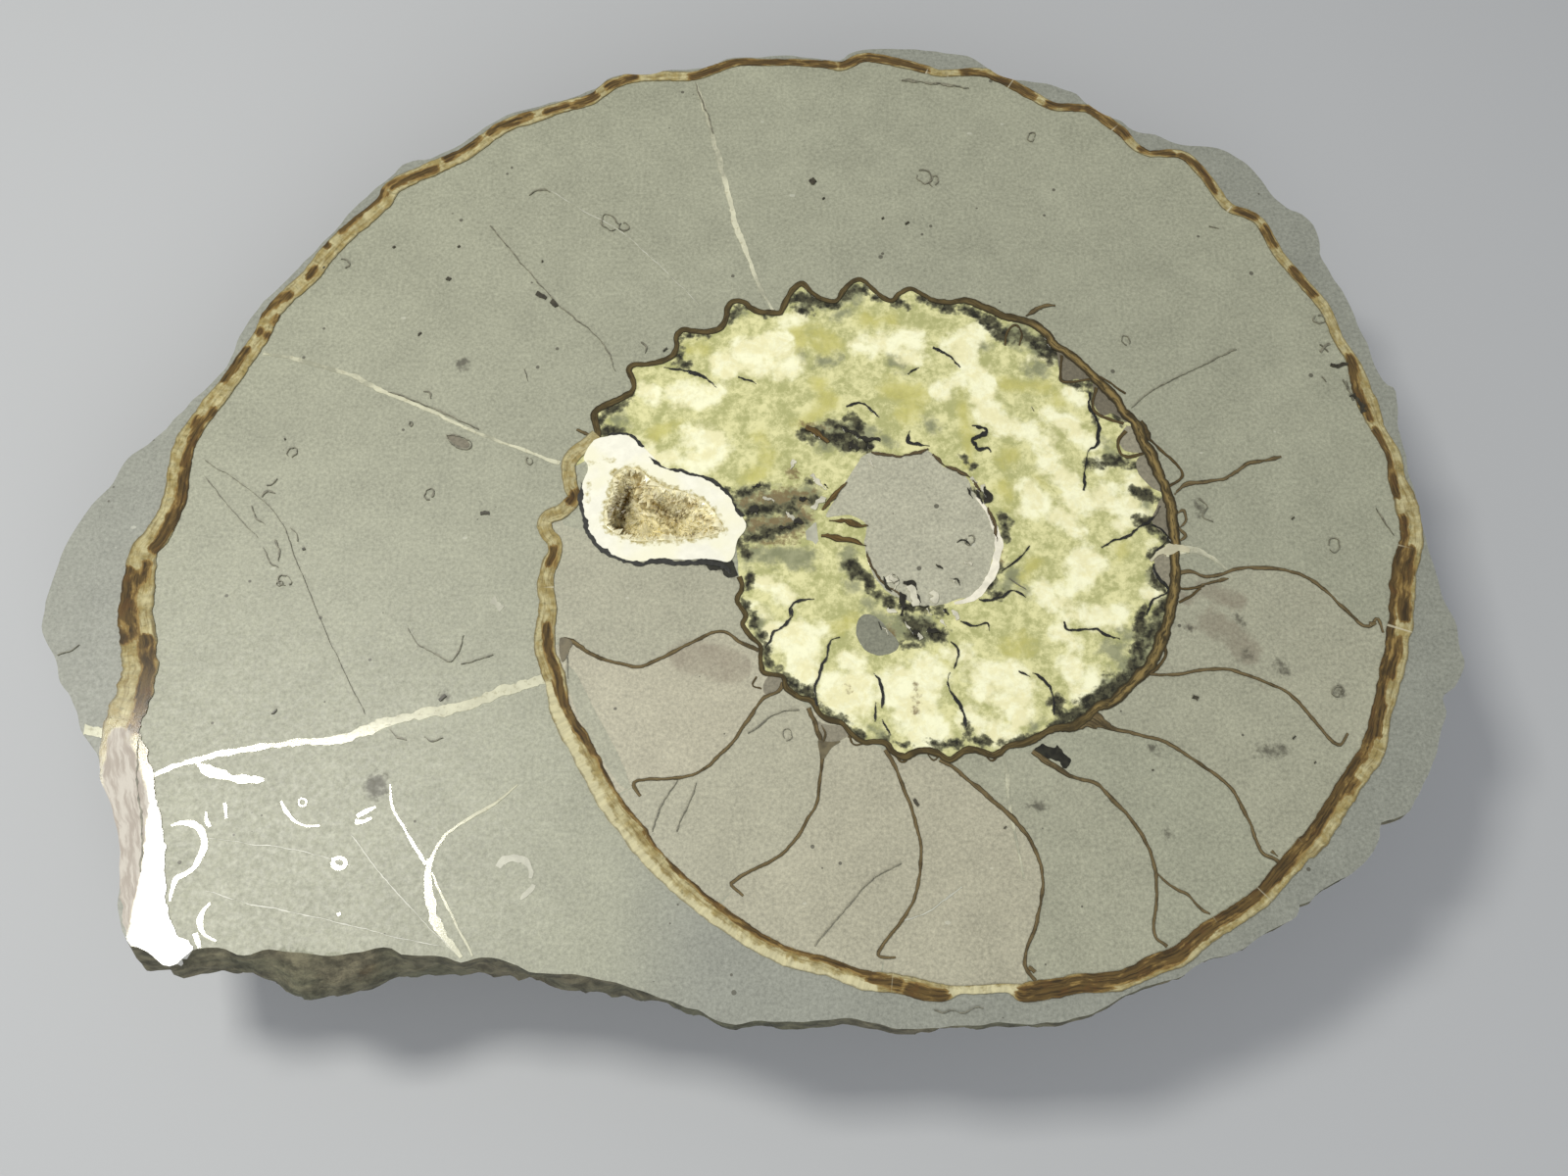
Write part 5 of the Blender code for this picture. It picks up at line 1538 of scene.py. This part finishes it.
class AMMONITE_OT_umbilicus(bpy.types.Operator):
    """Set the round umbilicus, its shards and crystals and the small pockets in the calcite"""

    bl_idname = "ammonite.umbilicus"
    bl_label = "Umbilicus"

    def execute(self, context):
        shell, calcite = context.scene.ammonite_shell, context.scene.ammonite_calcite
        finish = limestone_finish("Umbilicus limestone", tone(142, 143, 124), tone(200, 198, 174))
        self.fill("umbilicus", (UMBILICUS_PX, GREY_PATCH_PX), UMBILICUS_WARMTHS, finish)
        finish = limestone_finish("Pocket limestone", tone(124, 117, 98), tone(176, 170, 146))
        self.fill("wall_pockets", (*POCKETS_PX, *SIDE_ROOMS_PX), POCKET_WARMTHS, finish)
        finish = plain_calcite_finish("Crescent calcite", (0.96, 0.91, 0.74), calcite.gloss)
        set_in(ribbon("umbilicus_crescent", UMBILICUS_CRESCENT_PX, "crescent"), finish)
        finish = thin_shell_finish("Umbilicus edge", tone(104, 88, 60))
        shape = {"step": 0.3 * MM, "wobble": 0.5, "taper": 0.6}
        set_strips("umbilicus_edge", UMBILICUS_EDGE_PX, "suture", finish, "shell_calcite", **shape)
        finish = thin_shell_finish("Umbilicus shards", shell.brown)
        shape = {"wobble": 0.3, "taper": 0.7}
        set_strips("umbilicus_shards", UMBILICUS_SHARDS_PX, "line", finish, "shell_calcite", **shape)
        finish = plain_calcite_finish("Crystal bits", tone(236, 232, 208), calcite.gloss, 0.3)
        shape = {"step": 0.25 * MM, "wobble": 0.6, "taper": 0.6}
        set_strips("crystal_bits", CRYSTAL_BITS_PX, "line", finish, "white_calcite", **shape)
        finish = dark_finish("Black bits", tone(48, 46, 36))
        set_strips("black_bits", BLACK_BITS_PX, "spot", finish, "shell_calcite", **shape)
        outlines = [outline_of(marks, step=0.2 * MM, roughness=0.5 * MM) for marks in CLAY_SPOTS_PX]
        spots = join("clay_spots", [patch("spot", outline, "faint vein") for outline in outlines])
        set_in(spots, dark_finish("Black clay", calcite.clay))
        return {"FINISHED"}

    def fill(self, name, outlines, warmths, finish):
        """Sets in plates of limestone, each with how warm its colour is, as one piece."""
        outlines = [outline_of(marks, step=0.4 * MM) for marks in outlines]
        obj = join(name, [plate(outline, "umbilicus", warmth) for outline, warmth in zip(outlines, warmths)])
        paint_stains(obj)
        set_in(obj, finish)


class AMMONITE_OT_shell_wall(bpy.types.Operator):
    """Model the outer shell wall that winds round the section"""

    bl_idname = "ammonite.shell_wall"
    bl_label = "Shell Wall"

    def execute(self, context):
        settings = context.scene.ammonite_shell
        shape = {"columns": settings.wall_columns, "wobble": 0.05, "depth": 2 * MM}
        obj = ribbon("shell_wall", SHELL_WALL_PX, "shell wall", settings.wall_step, **shape)
        brown, cream = strokes(BROWN_WALL_PX), strokes(CREAM_WALL_PX)
        # The painted glare mask marks the wall's end that is painted near-white as a painted highlight
        paint(obj, WALL_SOFTNESS, brown=brown, cream=cream, bare=PAINTED_GLARE_WALL_PX, dull=DULL_WALL_PX)
        set_in(obj, outer_wall_finish(settings))
        return {"FINISHED"}


class AMMONITE_OT_inner_wall(bpy.types.Operator):
    """Model the scalloped wall of the inner whorl with its loops"""

    bl_idname = "ammonite.inner_wall"
    bl_label = "Inner Wall"

    def execute(self, context):
        shape = {"step": 0.35 * MM, "columns": 6, "wobble": 0.14}
        wall = ribbon("inner_wall", INNER_WALL_PX, "inner wall", **shape)
        paint(wall, PALE_WALL_SOFTNESS, pale=PALE_WALL_PX)
        set_in(wall, thin_shell_finish("Inner wall", tone(98, 84, 50), tone(156, 134, 82)))
        finish = thin_shell_finish("Wall loops", tone(100, 84, 50))
        shape = {"step": 0.35 * MM, "wobble": 0.25}
        set_strips("wall_loops", WALL_LOOPS_PX, "loop", finish, "shell_calcite", **shape)
        return {"FINISHED"}


class AMMONITE_OT_septa(bpy.types.Operator):
    """Model the thin curved septa between the chambers"""

    bl_idname = "ammonite.septa"
    bl_label = "Septa"

    def execute(self, context):
        finish = thin_shell_finish("Septa", context.scene.ammonite_shell.septum)
        for i, marks in enumerate(SEPTA_PX):
            septum = ribbon(f"septum_{i + 1}", marks, "septum", step=0.4 * MM, wobble=0.2)
            set_in(septum, finish)
        outlines = [outline_of(marks, step=0.3 * MM) for marks in SEPTUM_FEET_PX]
        feet = join("septum_feet", [patch("foot", outline, "scrap") for outline in outlines])
        set_in(feet, plain_calcite_finish("Septum feet", tone(120, 110, 82), 0.3, 0.5))
        shape = {"step": 0.4 * MM, "wobble": 0.25, "taper": 0.6}
        set_strips("septum_scraps", SEPTUM_SCRAPS_PX, "scrap", finish, "shell_calcite", **shape)
        return {"FINISHED"}


class AMMONITE_OT_veins(bpy.types.Operator):
    """Set white veins and bits of shell in the limestone"""

    bl_idname = "ammonite.veins"
    bl_label = "Veins"

    def execute(self, context):
        settings = context.scene.ammonite_calcite
        finish = vein_finish(settings)
        veins = ribbons("veins", VEINS_PX, "vein", step=0.4 * MM, wobble=0.22)
        paint(veins, FAINT_VEIN_SOFTNESS, faint=FAINT_VEINS_PX)
        set_in(veins, finish)
        crossing = ribbon("crossing_vein", CROSSING_VEIN_PX, "rim", step=0.3 * MM, wobble=0.3)
        pale = plain_calcite_finish("Crossing vein", tone(226, 220, 186), settings.gloss)
        set_in(crossing, pale)
        fragments = ribbons("fragments", FRAGMENTS_PX, "fragment", step=0.3 * MM, wobble=0.15)
        set_in(fragments, finish)
        pale = plain_calcite_finish("Pale marks", tone(205, 204, 182), 0.3)
        set_in(ribbons("pale_marks", PALE_MARKS_PX, "faint vein", wobble=0.4), pale)
        return {"FINISHED"}


class AMMONITE_OT_hollow(bpy.types.Operator):
    """Line the hollow with its white rim and its crust of tan crystals"""

    bl_idname = "ammonite.hollow"
    bl_label = "Hollow"

    def execute(self, context):
        settings = context.scene.ammonite_crystals
        mouth = smooth_line(on_face(HOLLOW_MOUTH_PX), step=0.5 * MM, closed=True)
        shape = {"holes": [mouth], "step": 0.6 * MM, "depth": 2.2 * MM}
        rim = patch("hollow_rim", outline_of(HOLLOW_RIM_PX), "rim", **shape)
        fringe = [[(x, y, FRINGE_WIDTH_PX) for x, y in (*HOLLOW_MOUTH_PX, HOLLOW_MOUTH_PX[0])]]
        paint(rim, FRINGE_SOFTNESS, fringe=fringe + strokes(RIM_TINGE_PX))
        set_in(rim, rim_finish(context.scene.ammonite_calcite))
        finish = dark_finish("Hollow lining", tone(50, 50, 46))
        shape = {"step": 0.25 * MM, "wobble": 0.5, "taper": 0.7}
        set_strips("hollow_lining", HOLLOW_LINING_PX, "lining", finish, "shell_calcite", **shape)
        crust = self.grow(self.bowl(mouth), settings)
        set_in(crust, crystal_finish(settings), ["vug_crystals"])
        return {"FINISHED"}

    def bowl(self, mouth):
        """A lumpy bowl that lines the hollow, with its faces towards the hollow."""
        size, height = CRUST_LUMPS
        rings = []
        for down in np.linspace(CRUST_TOP_LEVEL, 1, CRUST_RINGS):
            share = np.interp(down, [row[1] for row in HOLLOW_WALL], [row[0] for row in HOLLOW_WALL])
            inset = min(MOUTH_INSET_MM + INSET_GROWTH_MM * down, MOST_INSET_MM) * MM
            ring = hollow_ring(mouth, share, down * (HOLLOW_DEPTH - CRUST_FLOOR_GAP), inset)
            lumps = noise_at(ring, size)[:, None] * height * min(down * 3, 1)
            inward = np.array((ring[:, 0].mean(), ring[:, 1].mean(), STONE_HIGH.z)) - ring
            rings.append(ring + inward / np.linalg.norm(inward, axis=1)[:, None] * lumps)
        count = len(mouth)
        faces = loft_faces([np.arange(count) + i * count for i in range(CRUST_RINGS)])
        bowl = new_object("crystal_bowl", np.vstack(rings), faces)
        recalculate_normals(bowl)
        bowl.data.flip_normals()
        return bowl

    def grow(self, bowl, settings):
        """Copies one pointed crystal to places all over the bowl and joins them to it."""
        chance = np.random.RandomState(CRYSTALS_SEED)
        deselect_all()
        bpy.ops.mesh.primitive_cone_add(
            vertices=CRYSTAL_SIDES, radius1=1, radius2=0.0, depth=1, location=(0, 0, 0)
        )
        seed = bpy.context.object
        shape = coords_of(seed) + (0, 0, CRYSTAL_RISE)
        seed_faces = [tuple(face.vertices) for face in seed.data.polygons]
        bpy.data.objects.remove(seed)
        bowl_coords = coords_of(bowl)
        areas = np.array([face.area for face in bowl.data.polygons])
        points, faces = [], []
        for pick in chance.choice(len(areas), settings.count, p=areas / areas.sum()):
            face = bowl.data.polygons[int(pick)]
            corners = bowl_coords[list(face.vertices)]
            weights = chance.dirichlet(np.ones(len(corners)))
            axis = (face.normal + Vector(chance.normal(0, CRYSTAL_LEAN, 3))).normalized()
            turn = np.array(axis.to_track_quat("Z", "Y").to_matrix())
            size = chance.lognormal(0, CRYSTAL_SIZE_SPREAD)
            scale = np.array((settings.radius, settings.radius, settings.height)) * size
            placed = (shape * scale) @ turn.T + corners.T @ weights
            placed[:, 2] = np.minimum(placed[:, 2], STONE_HIGH.z - CRYSTAL_TOP_GAP)
            first = len(points) * len(shape)
            points.append(placed)
            faces += [tuple(v + first for v in corner) for corner in seed_faces]
        crystals = new_object("crystals", np.vstack(points), faces)
        make_active(bowl)
        bpy.ops.object.modifier_add(type="SOLIDIFY")
        bowl.modifiers[-1].thickness = CRUST_THICKNESS
        bowl.modifiers[-1].offset = -1
        bpy.ops.object.modifier_apply(modifier=bowl.modifiers[-1].name)
        crust = join("hollow_crystals", [crystals, bowl])
        depths = STONE_HIGH.z - coords_of(crust)[:, 2]
        write_attribute(crust, "pale", 1 - smooth_step(depths / PALE_CRYSTALS_DEPTH))
        # Paints where the crevices take their painted shade
        paint(crust, CREVICE_SHADE_SOFTNESS, crevice=strokes(CREVICE_SHADE_PX))
        return crust


class AMMONITE_OT_marks(bpy.types.Operator):
    """Draw the black sutures, cracks, rings and specks"""

    bl_idname = "ammonite.marks"
    bl_label = "Fine Marks"

    def execute(self, context):
        finish = dark_finish("Black sutures", context.scene.ammonite_calcite.suture)
        shape = {"step": 0.2 * MM, "wobble": 0.6, "taper": 0.7}
        set_strips("sutures", SUTURES_PX, "suture", finish, "shell_calcite", **shape)
        lines = strokes(DARK_LINES_PX) + [ring_marks(*ring) for ring in RINGS_PX]
        lines = ribbons("dark_lines", lines, "line", step=0.3 * MM, wobble=0.7, taper=0.5)
        set_in(lines, dark_finish("Dark lines", tone(132, 129, 110), 0.45))
        finish = dark_finish("Dark spots", tone(66, 62, 48), 0.4)
        set_strips("dark_spots", DARK_SPOTS_PX, "spot", finish, "limestone", step=0.2 * MM, wobble=0.5)
        finish = plain_calcite_finish("Pale lines", tone(214, 214, 196), 0.34)
        shape = {"step": 0.4 * MM, "wobble": 0.5, "taper": 0.5}
        set_strips("pale_lines", PALE_LINES_PX, "fragment", finish, "white_calcite", **shape)
        return {"FINISHED"}


class AMMONITE_OT_stage(bpy.types.Operator):
    """Set the floor, the soft lights and the camera"""

    bl_idname = "ammonite.stage"
    bl_label = "Stage"

    def execute(self, context):
        settings = context.scene.ammonite_stage
        deselect_all()
        bpy.ops.mesh.primitive_plane_add(size=FLOOR_SIZE, location=(0, 0, 0))
        floor = context.object
        floor.name = "floor"
        floor.data.materials.append(Finish("Pale floor").done(settings.floor, 0.6))
        self.lamp("key", KEY_PLACE, KEY_AIM, KEY_SIZE, settings.key_power, tone(255, 253, 246))
        self.lamp("fill", FILL_PLACE, FILL_AIM, FILL_SIZE, settings.fill_power, tone(250, 252, 255))
        world = bpy.data.worlds.new("Soft light")
        context.scene.world = world
        world.use_nodes = True
        background = world.node_tree.nodes["Background"]
        background.inputs["Color"].default_value = (*tone(246, 248, 252), 1.0)
        background.inputs["Strength"].default_value = settings.sky
        camera = bpy.data.objects.new("camera", bpy.data.cameras.new("camera"))
        context.collection.objects.link(camera)
        camera.location = EYE
        camera.rotation_euler = (VIEW_LEAN, 0, 0)
        camera.data.lens = LENS_MM
        camera.data.sensor_width = SENSOR_MM
        camera.data.clip_start = CLIP_START
        context.scene.camera = camera
        context.scene.view_settings.view_transform = "Standard"
        return {"FINISHED"}

    def lamp(self, name, place, aim, size, power, tint):
        lamp = bpy.data.objects.new(name, bpy.data.lights.new(name, "AREA"))
        bpy.context.collection.objects.link(lamp)
        lamp.location = place
        lamp.rotation_euler = (Vector(aim) - Vector(place)).to_track_quat("-Z", "Y").to_euler()
        lamp.data.shape = "RECTANGLE"
        lamp.data.size, lamp.data.size_y = size
        lamp.data.energy = power
        lamp.data.color = tint


class AMMONITE_PT_panel(bpy.types.Panel):
    """The steps that build the ammonite half, and their settings"""

    bl_idname = "AMMONITE_PT_panel"
    bl_label = "Ammonite Half"
    bl_space_type = "VIEW_3D"
    bl_region_type = "UI"
    bl_category = "Ammonite"

    def draw(self, context):
        for operator in OPERATORS:
            self.layout.operator(operator.bl_idname)
        for name, group in SETTINGS.items():
            box = self.layout.box()
            box.label(text=group.__doc__)
            for prop in group.__annotations__:
                box.prop(getattr(context.scene, name), prop)


OPERATORS = (
    AMMONITE_OT_stage,
    AMMONITE_OT_stone,
    AMMONITE_OT_chambers,
    AMMONITE_OT_calcite,
    AMMONITE_OT_umbilicus,
    AMMONITE_OT_shell_wall,
    AMMONITE_OT_inner_wall,
    AMMONITE_OT_septa,
    AMMONITE_OT_veins,
    AMMONITE_OT_hollow,
    AMMONITE_OT_marks,
)
SETTINGS = {
    "ammonite_stone": StoneSettings,
    "ammonite_shell": ShellSettings,
    "ammonite_calcite": CalciteSettings,
    "ammonite_crystals": CrystalSettings,
    "ammonite_stage": StageSettings,
}


def register():
    for group in (*SETTINGS.values(), *OPERATORS, AMMONITE_PT_panel):
        bpy.utils.register_class(group)
    for name, group in SETTINGS.items():
        setattr(bpy.types.Scene, name, PointerProperty(type=group))


def unregister():
    for name in SETTINGS:
        delattr(bpy.types.Scene, name)
    for group in (AMMONITE_PT_panel, *OPERATORS[::-1], *list(SETTINGS.values())[::-1]):
        bpy.utils.unregister_class(group)


def main():
    register()
    for operator in OPERATORS:
        family, step = operator.bl_idname.split(".")
        getattr(getattr(bpy.ops, family), step)()


if __name__ == "__main__":
    main()
